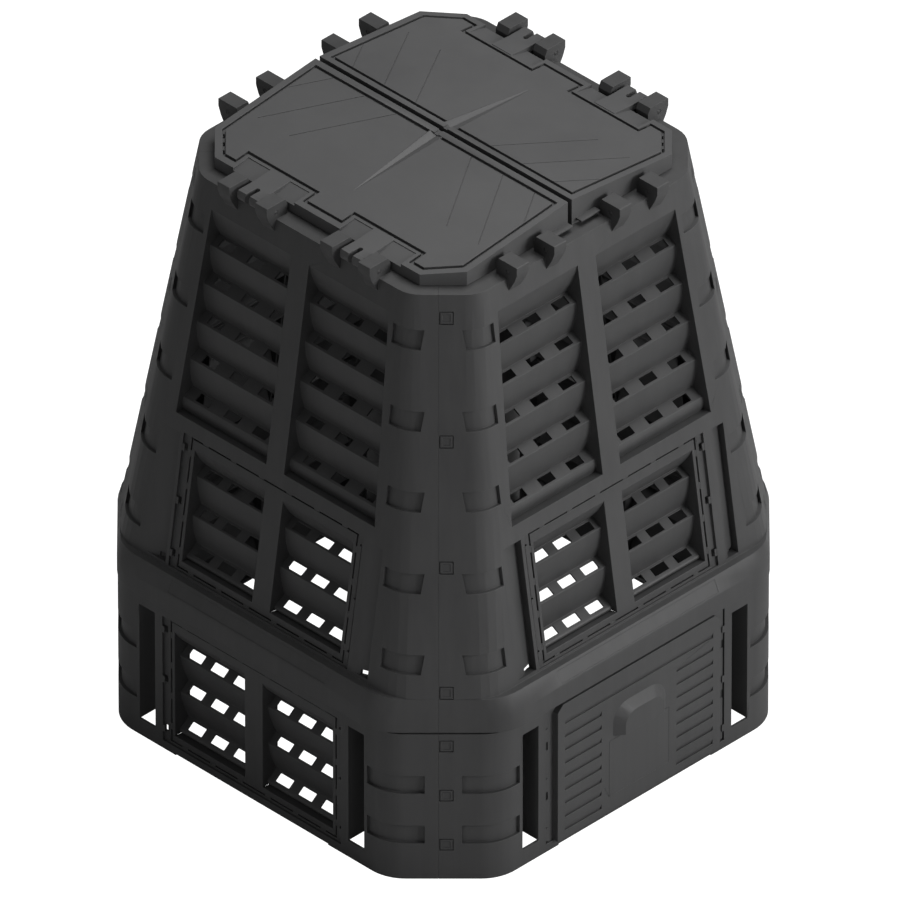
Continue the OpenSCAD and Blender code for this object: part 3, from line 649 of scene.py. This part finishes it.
def dress(nodes: Iterable[str], plastic: bpy.types.Material, edges: SoftEdges) -> None:
    """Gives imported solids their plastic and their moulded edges.

    Args:
        nodes: Names of the solids.
        plastic: The finish.
        edges: The rounding.
    """
    for name in nodes:
        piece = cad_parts[name]
        piece.data.materials.clear()
        piece.data.materials.append(plastic)
        edges.finish(piece)
        LOG.info("%s dressed", name)


def declare(piece: bpy.types.Object, node: str | None = None) -> None:
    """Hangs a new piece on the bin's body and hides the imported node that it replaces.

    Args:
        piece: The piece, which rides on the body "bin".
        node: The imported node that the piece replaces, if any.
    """
    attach(piece, "bin")
    if node:
        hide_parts(node)
    LOG.info("%s made, %d faces", piece.name, len(piece.data.polygons))


# Sub-assemblies


@dataclass
class BaseRing:
    """The straight lower ring of four walls with side slots and pressed corners.

    Attributes:
        plastic: The finish.
        edges: The rounding.
    """

    plastic: MouldedPlastic
    edges: SoftEdges = SoftEdges(radius=0.55 * MM)

    def dress(self, effects: SurfaceEffects) -> bpy.types.Material:
        """Finishes the four walls.

        Args:
            effects: The shared node groups.

        Returns:
            The walls' plastic.
        """
        made = self.plastic.material(effects)
        dress([f"{Ring.BASE.value}_wall_{side.word}" for side in Side], made, self.edges)
        return made


@dataclass
class UpperBody:
    """The tapered body: four walls with belt, louvres, side channels and lugs, in millimetres.

    Attributes:
        plastic: The finish.
        edges: The rounding.
        outline: The bin's outline.
        bore: Radius of the bores in the lugs.
        lug_places: Distance of a side's lugs from its middle.
        lug_width: Width of a lug.
        bore_height: Height of the bores above the ground.
        pin_length: How far a stub pin reaches into its bore.
        dimple: Depth of the closed end of a bore under the lug's face.
        spokes: Corners of the round closed end.
    """

    plastic: MouldedPlastic
    edges: SoftEdges = SoftEdges(radius=0.55 * MM)
    outline: Outline = Outline()
    bore: float = 4.06
    lug_places: tuple[float, float] = (76.0, 163.0)
    lug_width: float = 28.0
    bore_height: float = 1092.0
    pin_length: float = 10.5
    dimple: float = 0.5
    spokes: int = 24

    def dress(self, effects: SurfaceEffects) -> bpy.types.Material:
        """Finishes the four walls.

        Args:
            effects: The shared node groups.

        Returns:
            The walls' plastic.
        """
        made = self.plastic.material(effects)
        dress([f"{Ring.UPPER.value}_wall_{side.word}" for side in Side], made, self.edges)
        return made

    def build(self, made: bpy.types.Material) -> None:
        """Closes the bores of the lugs but for the room that the stub pins need.

        Args:
            made: The walls' plastic.
        """
        plug = Sheet()
        turns = [math.tau * i / self.spokes for i in range(self.spokes)]
        ring = [(self.bore * math.cos(turn), self.bore * math.sin(turn)) for turn in turns]
        reach = self.lug_width / 2 - self.dimple
        start = self.pin_length - self.lug_width / 2
        plug.face(*[(x, reach, -z) for x, z in ring])
        plug.face(*[(x, start, z) for x, z in ring])
        for (x0, z0), (x1, z1) in zip(ring, ring[1:] + ring[:1]):
            plug.face((x0, start, z0), (x0, reach, z0), (x1, reach, z1), (x1, start, z1))
        pattern = plug.piece("closed end of a bore")
        graph = copies_graph("closed bore ends")
        inner, outer = self.lug_places
        for side in Side:
            piece = Sheet().piece(f"bore_ends_{side.word}")
            holes = [(outer, 0.0), (-inner, 0.0), (inner, math.pi), (-outer, math.pi)]
            if side.bears_no_lid:
                holes = holes + [(y, math.pi - turn) for y, turn in holes]
            places = [Vector((self.outline.top_half, y, self.bore_height)) * MM for y, _ in holes]
            piece.data.from_pydata(places, [], [])
            attribute = piece.data.attributes.new("turn", "FLOAT", "POINT")
            for row, (_, turn) in zip(attribute.data, holes):
                row.value = turn
            grow(piece, graph, {"Pattern": pattern, "Finish": made}, side.matrix)
            declare(piece)
        discard(pattern)


@dataclass
class LouvredPanels:
    """Louvred panels that close seven of the eight hatch openings, in millimetres.

    Attributes:
        plastic: The finish.
        outline: The bin's outline.
        edges: The rounding.
        gap: How far the panel's own measures stand in from its opening.
        slit: Slit between the panel and its opening, which the tabs bridge.
        tab_depth: How far the tabs lie behind the panel's face.
        tab_lap: How much longer a tab is than the slit is wide.
        rebate: Depth of the rim that closes the slit from behind.
        rebate_lap: How far the rim reaches behind the wall.
        sheet: Thickness of the moulding.
        mullion: Half the width of the upright between the bays.
        edge: Width of the border outside a bay.
        tuck: How far a slat runs behind the sides of its bay.
        foot: Height of the border under a bay.
        head: Height of the border over a bay.
        first: Height of the lowest ledge in a bay.
        first_slope: Slope of the slat under it, against the other slats.
        pitch: Height from one ledge to the next.
        rows: Ledges in a bay.
        rise: Rise of a ledge from front to back.
        front: Depth of a ledge's lip behind the face.
        back: Depth of a ledge's back behind the face.
        bulge: How far a slat bows out.
        steps: Faces up a slat.
        hole: Size of a hole along its ledge's slope and across the bay.
        hole_step: Distance from one hole to the next.
        round: Radius of a hole's corners.
        round_steps: Edges round a hole's corner.
        depth: Depth of the walls round a bay.
        foot_depth: Depth of the wall under a bay.
        tab: Width of a tab.
        tabs: Tabs across the panel and up its side.
    """

    plastic: MouldedPlastic
    outline: Outline = Outline()
    edges: SoftEdges = SoftEdges(radius=0.9 * MM, merge=0.0)
    gap: float = 4.5
    slit: float = 3.0
    tab_depth: float = 0.1
    tab_lap: float = 0.5
    rebate: float = 4.4
    rebate_lap: float = 5.0
    sheet: float = 3.4
    mullion: float = 20.8
    edge: float = 5.0
    tuck: float = 1.0
    foot: float = 10.0
    head: float = 16.0
    first: float = 10.0
    first_slope: float = 0.75
    pitch: float = 74.0
    rows: int = 3
    rise: float = 15.0
    front: float = 13.0
    back: float = 32.0
    bulge: float = 3.0
    steps: int = 8
    hole: tuple[float, float] = (16.0, 32.0)
    hole_step: float = 53.0
    round: float = 1.6
    round_steps: int = 4
    depth: float = 36.0
    foot_depth: float = 25.6
    tab: float = 13.0
    tabs: tuple[int, int] = (6, 4)

    @property
    def width(self) -> float:
        """Width of a panel."""
        return self.outline.hatch_width - 2 * self.gap

    @property
    def height(self) -> float:
        """Height of a panel."""
        return self.outline.hatch_height - 2 * self.gap

    @property
    def bay_height(self) -> float:
        """Height of a bay."""
        return self.height - self.foot - self.head

    @property
    def reach(self) -> float:
        """Distance of a bay's outer edge from the middle."""
        return self.width / 2 - self.edge

    @property
    def slope(self) -> float:
        """Length of a ledge from its lip to its back."""
        return math.hypot(self.back - self.front, self.rise)

    def slat(self, d0: float, z0: float, d1: float, z1: float) -> list[tuple[float, float]]:
        """Makes the profile of a slat's bowed face.

        Args:
            d0: Depth of its foot behind the panel's face.
            z0: Height of its foot.
            d1: Depth of its top.
            z1: Height of its top.

        Returns:
            Depths and heights from the foot to the top, without the foot itself.
        """
        line = []
        for step in range(1, self.steps + 1):
            share = step / self.steps
            bow = self.bulge * math.sin(math.pi * share)
            line.append((d0 + (d1 - d0) * share - bow, z0 + (z1 - z0) * share))
        return line

    def ledge(self) -> list[tuple[float, float]]:
        """Makes the profile of a ledge.

        Returns:
            Depths and heights from its lip to its back, with a point where a hole or its round starts or ends.
        """
        middle, half = self.slope / 2, self.hole[0] / 2
        low, high = middle - half, middle + half
        stops = (0, low, low + self.round, high - self.round, high, self.slope)
        return [self.on_ledge(stop / self.slope) for stop in stops]

    def on_ledge(self, share: float) -> tuple[float, float]:
        """Depth and height of a point at a share of the way up a ledge."""
        return self.front + (self.back - self.front) * share, self.rise * share

    def hole_middles(self) -> list[float]:
        """Places of the three holes across a bay."""
        middle = (self.mullion + self.reach) / 2
        return [middle + step * self.hole_step for step in (-1, 0, 1)]

    def columns(self) -> list[float]:
        """Finds the places across a bay where the bay, a hole or a hole's round begins or ends.

        Returns:
            The places in rising order, four to a hole between the two sides of the bay.
        """
        half = self.hole[1] / 2
        steps = (-half, self.round - half, half - self.round, half)
        stops = [middle + step for middle in self.hole_middles() for step in steps]
        return [self.mullion - self.tuck, *stops, self.reach + self.tuck]

    @staticmethod
    def is_hole(row: int, column: int) -> bool:
        """Says whether a cell belongs to a hole: one of the ledge's three middle rows, and not a web."""
        return 1 <= row <= 3 and column % 4 != 0

    def rounds(self, sheet: Sheet, height: float) -> None:
        """Fills the corners of one ledge's holes, so that the holes are rounded.

        Args:
            sheet: The sheet that holds the ledge.
            height: Height of the ledge's lip in the sheet.
        """
        turns = [math.pi / 2 * i / self.round_steps for i in range(self.round_steps, -1, -1)]
        for middle in self.hole_middles():
            for sy, su in ((1, 1), (-1, 1), (-1, -1), (1, -1)):
                y, u = middle + sy * self.hole[1] / 2, self.slope / 2 + su * self.hole[0] / 2
                arc = [(y - sy * self.round * (1 - math.cos(turn)), u - su * self.round * (1 - math.sin(turn)))
                       for turn in turns]
                line = [(y, u), *arc]
                if sy * su < 0:
                    line.reverse()
                places = [(y, self.on_ledge(u / self.slope)) for y, u in line]
                sheet.face(*[(-d, y, z + height) for y, (d, z) in places])

    def patterns(self) -> tuple[bpy.types.Object, bpy.types.Object]:
        """Makes one ledge with its slat, and the foot and the crown of a bay.

        Returns:
            The repeated slat, and the two ends of a bay as one piece.
        """
        columns = self.columns()
        slat = Sheet()
        profile = self.ledge() + self.slat(self.back, self.rise, self.front, self.pitch)
        slat.ribbon(profile, columns, self.is_hole)
        ends = Sheet()
        drop = self.front + (self.back - self.front) * self.first_slope * self.first / self.pitch
        foot = [(drop, 0), *self.slat(drop, 0, self.front, self.first)]
        ends.ribbon(foot, columns, lambda row, column: False)
        top = self.first + (self.rows - 1) * self.pitch
        crown = [(d, z + top) for d, z in self.ledge()]
        ends.ribbon(crown + self.slat(self.back, top + self.rise, 0, self.bay_height), columns, self.is_hole)
        self.rounds(slat, 0)
        self.rounds(ends, top)
        return slat.piece("slat pattern"), ends.piece("bay end pattern")

    def frame(self, name: str) -> bpy.types.Object:
        """Makes a panel's front plate with its two windows, the walls behind them and its rim.

        Args:
            name: The piece's name.

        Returns:
            The piece, in the frame of the hatch opening.
        """
        plate = Sheet()
        foot, top = self.gap + self.foot, self.gap + self.foot + self.bay_height
        edge = self.outline.hatch_width / 2 - self.slit
        across = [-edge, -self.reach, -self.mullion, self.mullion, self.reach, edge]
        line = [(0, self.slit), (0, foot), (0, top), (0, self.outline.hatch_height - self.slit)]
        plate.ribbon(line, across, lambda row, column: row == 1 and column in (1, 3))
        self.rim(plate, across, [z for _, z in line])
        d, f = -self.depth, -self.foot_depth
        for y0, y1 in ((across[1], across[2]), (across[3], across[4])):
            plate.face((0, y1, top), (0, y0, top), (d, y0, top), (d, y1, top))
            plate.face((0, y0, foot), (0, y1, foot), (f, y1, foot), (f, y0, foot))
            plate.face((0, y0, top), (0, y0, foot), (d, y0, foot), (d, y0, top))
            plate.face((0, y1, foot), (0, y1, top), (d, y1, top), (d, y1, foot))
        return plate.piece(name)

    def rim(self, plate: Sheet, across: Sequence[float], heights: Sequence[float]) -> None:
        """Turns the plate's edge back and out again, so that the slit has a dark floor.

        Args:
            plate: The panel's front plate.
            across: Places of the plate's corners along Y.
            heights: Heights of the plate's corners.
        """
        foot, top, edge = heights[0], heights[-1], across[-1]
        loop = ([(y, foot) for y in across[:-1]] + [(edge, z) for z in heights[:-1]]
                + [(y, top) for y in across[:0:-1]] + [(-edge, z) for z in heights[:0:-1]])
        middle = (foot + top) / 2
        wide = (self.outline.hatch_width / 2 + self.rebate_lap) / edge
        tall = (self.outline.hatch_height / 2 + self.rebate_lap) / (top - middle)
        for (y0, z0), (y1, z1) in zip(loop, loop[1:] + loop[:1]):
            near = (-self.rebate, y0, z0), (-self.rebate, y1, z1)
            far = [(x, y * wide, middle + (z - middle) * tall) for x, y, z in near]
            plate.face((0, y0, z0), near[0], near[1], (0, y1, z1))
            plate.face(near[0], far[0], far[1], near[1])

    def sizes(self) -> dict[str, tuple[Socket, Any]]:
        """Lists the tree's named sizes.

        Returns:
            Input name to the kind of socket and this panel's own value, in metres.
        """
        return {
            "Rows": (Socket.COUNT, self.rows - 1),
            "Pitch": (Socket.NUMBER, self.pitch * MM),
            "Bay foot": (Socket.NUMBER, (self.gap + self.foot) * MM),
            "First ledge": (Socket.NUMBER, self.first * MM),
            "Bay step": (Socket.NUMBER, (self.mullion + self.reach) * MM),
            "Opening width": (Socket.NUMBER, self.outline.hatch_width * MM),
            "Opening height": (Socket.NUMBER, self.outline.hatch_height * MM),
            "Slit": (Socket.NUMBER, self.slit * MM),
            "Tab depth": (Socket.NUMBER, self.tab_depth * MM),
            "Tab width": (Socket.NUMBER, self.tab * MM),
            "Tab length": (Socket.NUMBER, (self.slit + self.tab_lap) * MM),
            "Tabs across": (Socket.COUNT, self.tabs[0]),
            "Tabs up": (Socket.COUNT, self.tabs[1]),
        }

    def graph(self) -> Graph:
        """Makes the tree that stacks the slats in both bays and bridges the slit with tabs.

        Returns:
            The tree.
        """
        patterns = {"Slat": (Socket.PIECE, None), "Bay ends": (Socket.PIECE, None)}
        g = new_group("louvred panel", "GeometryNodeTree",
                      {"Geometry": (Socket.SHAPE, None), **patterns, **self.sizes(),
                       "Finish": (Socket.FINISH, None)},
                      {"Geometry": Socket.SHAPE})
        src = g.tree.nodes["In"].outputs
        slat, ends = (g.add("GeometryNodeObjectInfo", {"Object": src[name]}).outputs["Geometry"]
                      for name in patterns)
        line = g.add("GeometryNodeMeshLine",
                     {"Count": src["Rows"], "Start Location": g.vector(0.0, 0.0, src["First ledge"]),
                      "Offset": g.vector(0.0, 0.0, src["Pitch"])})
        rows = g.add("GeometryNodeInstanceOnPoints", {"Points": line.outputs[0], "Instance": slat})
        slats = g.add("GeometryNodeRealizeInstances", {"Geometry": rows.outputs[0]})
        bay = g.add("GeometryNodeJoinGeometry")
        for part in (ends, slats.outputs[0]):
            g.tree.links.new(part, bay.inputs[0])
        joined = g.add("GeometryNodeMergeByDistance", {"Geometry": bay.outputs[0], "Distance": SLAT_JOIN})
        lift = g.vector(0.0, 0.0, src["Bay foot"])
        right = g.add("GeometryNodeTransform", {"Geometry": joined.outputs[0], "Translation": lift})
        across = g.vector(0.0, g.maths("MULTIPLY", src["Bay step"], -1.0), 0.0)
        left = g.add("GeometryNodeTransform", {"Geometry": right.outputs[0], "Translation": across})
        whole = g.add("GeometryNodeJoinGeometry")
        for part in (left.outputs[0], right.outputs[0], src["Geometry"], *self._tabs(g, src)):
            g.tree.links.new(part, whole.inputs[0])
        end_tree(g, whole.outputs[0])
        return g

    @staticmethod
    def _tabs(g: Graph, src: Any) -> list[bpy.types.NodeSocket]:
        """Adds the four rows of tabs to the tree.

        Args:
            g: The tree.
            src: The tree's input sockets.

        Returns:
            One geometry socket to a row.
        """
        width, height, slit, tab_length = (
            src[name] for name in ("Opening width", "Opening height", "Slit", "Tab length"))
        deep = g.maths("MULTIPLY", src["Tab depth"], -1.0)
        face_out = (0.0, math.pi / 2, 0.0)
        rows = []
        for count, length, lying in ((src["Tabs across"], width, True), (src["Tabs up"], height, False)):
            step = g.maths("DIVIDE", length, count)
            half = g.maths("MULTIPLY", step, 0.5)
            tall, wide = (tab_length, src["Tab width"]) if lying else (src["Tab width"], tab_length)
            tab = g.add("GeometryNodeMeshGrid",
                        {"Size X": tall, "Size Y": wide, "Vertices X": 2, "Vertices Y": 2})
            facing = g.add("GeometryNodeTransform", {"Geometry": tab.outputs[0], "Rotation": face_out})
            for end in (0, 1):
                if lying:
                    y = g.maths("SUBTRACT", half, g.maths("MULTIPLY", width, 0.5))
                    edge = g.maths("MULTIPLY", height, float(end))
                    z = g.maths("MULTIPLY_ADD", slit, 0.5 - end, edge)
                    offset = g.vector(0.0, step, 0.0)
                else:
                    y = g.maths("MULTIPLY", g.maths("SUBTRACT", width, slit), 0.5 - end)
                    z = half
                    offset = g.vector(0.0, 0.0, step)
                line = g.add("GeometryNodeMeshLine",
                             {"Count": count, "Start Location": g.vector(deep, y, z), "Offset": offset})
                row = g.add("GeometryNodeInstanceOnPoints",
                            {"Points": line.outputs[0], "Instance": facing.outputs[0]})
                rows.append(row.outputs[0])
        return rows

    def build(self, effects: SurfaceEffects) -> None:
        """Makes the seven panels and dresses them.

        Args:
            effects: The shared node groups.
        """
        made = self.plastic.material(effects)
        slat, ends = self.patterns()
        graph = self.graph()
        values = {name: value for name, (_, value) in self.sizes().items()}
        values |= {"Slat": slat, "Bay ends": ends, "Finish": made}
        for ring in Ring:
            for side in Side:
                if ring is Ring.BASE and side is Side.FRONT:
                    continue
                node = f"{ring.value}_vent_{side.word}"
                piece = self.frame(f"{node}_panel")
                grow(piece, graph, values, self.outline.hatch(ring, side))
                wall = piece.modifiers.new("wall", "SOLIDIFY")
                wall.thickness = self.sheet * MM
                wall.offset = -1
                wall.use_even_offset = True
                self.edges.finish(piece)
                declare(piece, node)
        discard(slat)
        discard(ends)


@dataclass
class CornerClips:
    """Square snap plugs that hold the walls together at the corners, in millimetres.

    Attributes:
        plastic: The finish.
        outline: The bin's outline.
        edges: The rounding.
        head: Width of the flange that fills the hole.
        face: Width of the block in front of it.
        groove: Depth of the groove round the block.
        skin: Thickness of a wall.
        lap: Gap between the two walls that lap at a corner.
        run: Play behind them.
        stem: Width of the stem.
        barb: Width of the barb.
        barb_depth: Depth of the barb.
        off: Distance of a clip from the corner's middle.
        dish: Depth of the dish in a face.
        dish_share: Width of the dish's floor against its mouth.
        border: Width of the border round the dish.
        base_shares: Heights of the base's clips, as shares of the base ring's height.
        upper_shares: Heights of the upper body's clips, as shares of the chamfer's length.
    """

    plastic: MouldedPlastic
    outline: Outline = Outline()
    edges: SoftEdges = SoftEdges(radius=0.8 * MM, merge=0.0)
    head: float = 23.7
    face: float = 20.4
    groove: float = 2.4
    skin: float = 4.0
    lap: float = 0.4
    run: float = 0.3
    stem: float = 10.0
    barb: float = 14.0
    barb_depth: float = 4.0
    off: float = 5.0
    dish: float = 1.0
    dish_share: float = 0.92
    border: float = 3.5
    base_shares: tuple[float, ...] = (0.21, 0.512, 0.814)
    upper_shares: tuple[float, ...] = (0.055, 0.353, 0.652, 0.9445)

    def pattern(self) -> bpy.types.Object:
        """Makes one clip: a flange, a block with a dished face, a stem and a barb.

        Returns:
            The clip, its face at the origin and towards +X.
        """
        clip = Sheet()
        h, f, s, b = self.head / 2, self.face / 2, self.stem / 2, self.barb / 2
        deep = -(2 * self.skin + self.lap + self.run + self.barb_depth)
        clip.box((-self.skin, -h, -h), (-self.groove, h, h))
        clip.box((-self.groove, -f, -f), (0, f, f), open_front=True)
        m = f - self.border
        n = m * self.dish_share
        outer, inner, floor = ([(x, -w, -w), (x, w, -w), (x, w, w), (x, -w, w)]
                               for x, w in ((0, f), (0, m), (-self.dish, n)))
        for this in range(4):
            following = (this + 1) % 4
            clip.face(outer[this], outer[following], inner[following], inner[this])
            clip.face(inner[this], inner[following], floor[following], floor[this])
        clip.face(*floor)
        clip.box((deep, -s, -s), (-self.skin, s, s))
        clip.box((deep, -b, -s), (deep + self.barb_depth, b, s))
        return clip.piece("clip pattern")

    def build(self, effects: SurfaceEffects) -> None:
        """Sets the clips out in eight columns and dresses them.

        Args:
            effects: The shared node groups.
        """
        made = self.plastic.material(effects)
        pattern = self.pattern()
        graph = copies_graph("column of clips")
        for ring in Ring:
            if ring is Ring.BASE:
                heights = [share * self.outline.base_height for share in self.base_shares]
            else:
                rise = self.outline.upper_height / math.cos(self.outline.corner_tilt)
                heights = [share * rise for share in self.upper_shares]
            for corner in Corner:
                node = f"{ring.value}_clips_{corner.word}"
                piece = Sheet().piece(f"{node}_set")
                piece.data.from_pydata([(0, self.off * MM, z * MM) for z in heights], [], [])
                grow(piece, graph, {"Pattern": pattern, "Finish": made}, self.outline.corner(ring, corner))
                self.edges.finish(piece)
                declare(piece, node)
        discard(pattern)


@dataclass
class HatchDoor:
    """The sliding hatch door with its hooded grip and wedge grooves.

    Attributes:
        plastic: The finish.
        edges: The rounding.
    """

    plastic: MouldedPlastic
    edges: SoftEdges = SoftEdges(radius=0.6 * MM)

    def dress(self, effects: SurfaceEffects) -> None:
        """Finishes the door."""
        dress(["hatch_door"], self.plastic.material(effects), self.edges)


@dataclass
class LidLeaves:
    """The two lid leaves.

    Attributes:
        plastic: The finish.
        edges: The rounding, finer than elsewhere so that the score lines stay crisp.
    """

    plastic: MouldedPlastic
    edges: SoftEdges = SoftEdges(radius=0.45 * MM, from_angle=30)

    def dress(self, effects: SurfaceEffects) -> None:
        """Finishes both leaves."""
        dress(["lid_leaf_left", "lid_leaf_right"], self.plastic.material(effects), self.edges)


@dataclass(frozen=True)
class Lamp:
    """A soft square lamp that faces the middle of the bin.

    Attributes:
        name: The lamp's name.
        place: Where it stands, in metres.
        size: Side of the square in metres.
        power: Power in watts.
    """

    name: str
    place: tuple[float, float, float]
    size: float
    power: float


@dataclass
class Studio:
    """Plain pale floor, soft light, and the camera at the photograph's angle.

    Attributes:
        pixel: Size of a pixel at the bin, in metres.
        image: Width of the photograph in pixels.
        lens: Focal length in millimetres, long enough for a nearly parallel view.
        sensor: Width of the sensor in millimetres.
        shift_right: Middle of the view, in pixels to the right of the ground's middle.
        shift_up: The same, upwards.
        clip: Nearest and farthest distance that the camera sees.
        lit_height: Height that the lamps face.
        floor_half: Half the floor's width.
        floor_grey: Grey of the floor as the bin's light meets it.
        floor_glow: Brightness of the floor as the camera sees it.
        glow_share: Share of that glow in what the camera sees.
        sky: Brightness of the sky.
        lamps: The lamps. The last one stands inside the bin.
    """

    pixel: float = 1.66 * MM
    image: int = 900
    lens: float = 1450.0
    sensor: float = 36.0
    shift_right: float = 6.6
    shift_up: float = 238.34
    clip: tuple[float, float] = (1.0, 300.0)
    lit_height: float = 0.55
    floor_half: float = 14.0
    floor_grey: float = 0.5
    floor_glow: float = 1.3
    glow_share: float = 0.9
    sky: float = 0.19
    lamps: tuple[Lamp, ...] = (
        Lamp("key", (5.2, 2.0, 2.6), 2.4, 270.0),
        Lamp("top", (0.2, 1.0, 4.4), 2.4, 125.0),
        Lamp("fill", (1.0, -4.4, 0.7), 3.0, 26.0),
        Lamp("inside", (0.0, 0.0, 0.95), 0.3, 0.9),
    )

    @staticmethod
    def stand(name: str, data: Any, place: Sequence[float], facing: Vector) -> bpy.types.Object:
        """Puts a lamp or a camera in the scene.

        Args:
            name: The object's name.
            data: The lamp or camera.
            place: Where it stands.
            facing: The direction that it looks in.

        Returns:
            The object.
        """
        made = bpy.data.objects.new(name, data)
        bpy.context.scene.collection.objects.link(made)
        made.location = place
        made.rotation_mode = "QUATERNION"
        made.rotation_quaternion = facing.to_track_quat("-Z", "Y")
        return made

    def camera(self) -> None:
        """Makes the camera: an isometric direction through a very long lens."""
        back = Vector((1, -1, 1)).normalized()
        right = Vector((1, 1, 0)).normalized()
        up = Vector((-1, 1, 2)).normalized()
        aim = (right * self.shift_right + up * self.shift_up) * self.pixel
        data = bpy.data.cameras.new("camera")
        data.lens, data.sensor_width = self.lens, self.sensor
        data.clip_start, data.clip_end = self.clip
        distance = self.pixel * self.image * self.lens / self.sensor
        bpy.context.scene.camera = self.stand("camera", data, aim + back * distance, -back)

    def light(self, lamp: Lamp) -> None:
        """Adds a lamp.

        Args:
            lamp: The lamp.
        """
        data = bpy.data.lights.new(lamp.name, "AREA")
        data.energy, data.size = lamp.power, lamp.size
        self.stand(lamp.name, data, lamp.place, Vector((0, 0, self.lit_height)) - Vector(lamp.place))

    def floor(self) -> None:
        """Makes the pale floor, which glows to the camera so that it stays plain."""
        h = self.floor_half
        mesh = bpy.data.meshes.new("floor")
        mesh.from_pydata([(-h, -h, 0), (h, -h, 0), (h, h, 0), (-h, h, 0)], [], [(0, 1, 2, 3)])
        made = bpy.data.objects.new("floor", mesh)
        bpy.context.scene.collection.objects.link(made)
        paint = bpy.data.materials.new("floor paint")
        paint.use_nodes = True
        nodes = paint.node_tree.nodes
        g = Graph(paint.node_tree)
        nodes.remove(nodes["Principled BSDF"])
        matte = g.add("ShaderNodeBsdfDiffuse", {"Color": (self.floor_grey,) * 3 + (1,)})
        glow = g.add("ShaderNodeEmission", {"Color": (1, 1, 1, 1), "Strength": self.floor_glow})
        seen = g.add("ShaderNodeLightPath").outputs["Is Camera Ray"]
        share = g.maths("MULTIPLY", seen, self.glow_share)
        both = g.add("ShaderNodeMixShader", {0: share, 1: matte.outputs[0], 2: glow.outputs[0]})
        g.feed(nodes["Material Output"].inputs["Surface"], both.outputs[0])
        mesh.materials.append(paint)

    def build(self) -> None:
        """Builds floor, camera, lamps and sky."""
        self.floor()
        self.camera()
        for lamp in self.lamps:
            self.light(lamp)
        world = bpy.data.worlds.new("sky")
        world.use_nodes = True
        background = world.node_tree.nodes["Background"]
        background.inputs["Color"].default_value = (1, 1, 1, 1)
        background.inputs["Strength"].default_value = self.sky
        bpy.context.scene.world = world
        bpy.context.scene.view_settings.view_transform = "Standard"
        LOG.info("floor, camera and %d lamps made", len(self.lamps))


def main() -> None:
    """Builds the sub-assemblies in order, then the studio."""
    logging.basicConfig(level=logging.INFO, format="%(name)s: %(message)s")
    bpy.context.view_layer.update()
    effects = SurfaceEffects()
    BaseRing(MouldedPlastic("base wall plastic", dark=0.033, light=0.047)).dress(effects)
    upper = UpperBody(MouldedPlastic("upper wall plastic", dark=0.033, light=0.047))
    upper.build(upper.dress(effects))
    LouvredPanels(MouldedPlastic("vent plastic", dark=0.033, light=0.046)).build(effects)
    CornerClips(MouldedPlastic("clip plastic", dark=0.032, light=0.043, roughness=0.44)).build(effects)
    HatchDoor(MouldedPlastic("door plastic", dark=0.037, light=0.050)).dress(effects)
    # The lid's greys are lighter than the walls' as painted light: they stand in for the stronger light that
    # falls on the top, on top of the top lamp.
    LidLeaves(MouldedPlastic("lid plastic", dark=0.051, light=0.066, flow=0.12)).dress(effects)
    Studio().build()


if __name__ == "__main__":
    main()
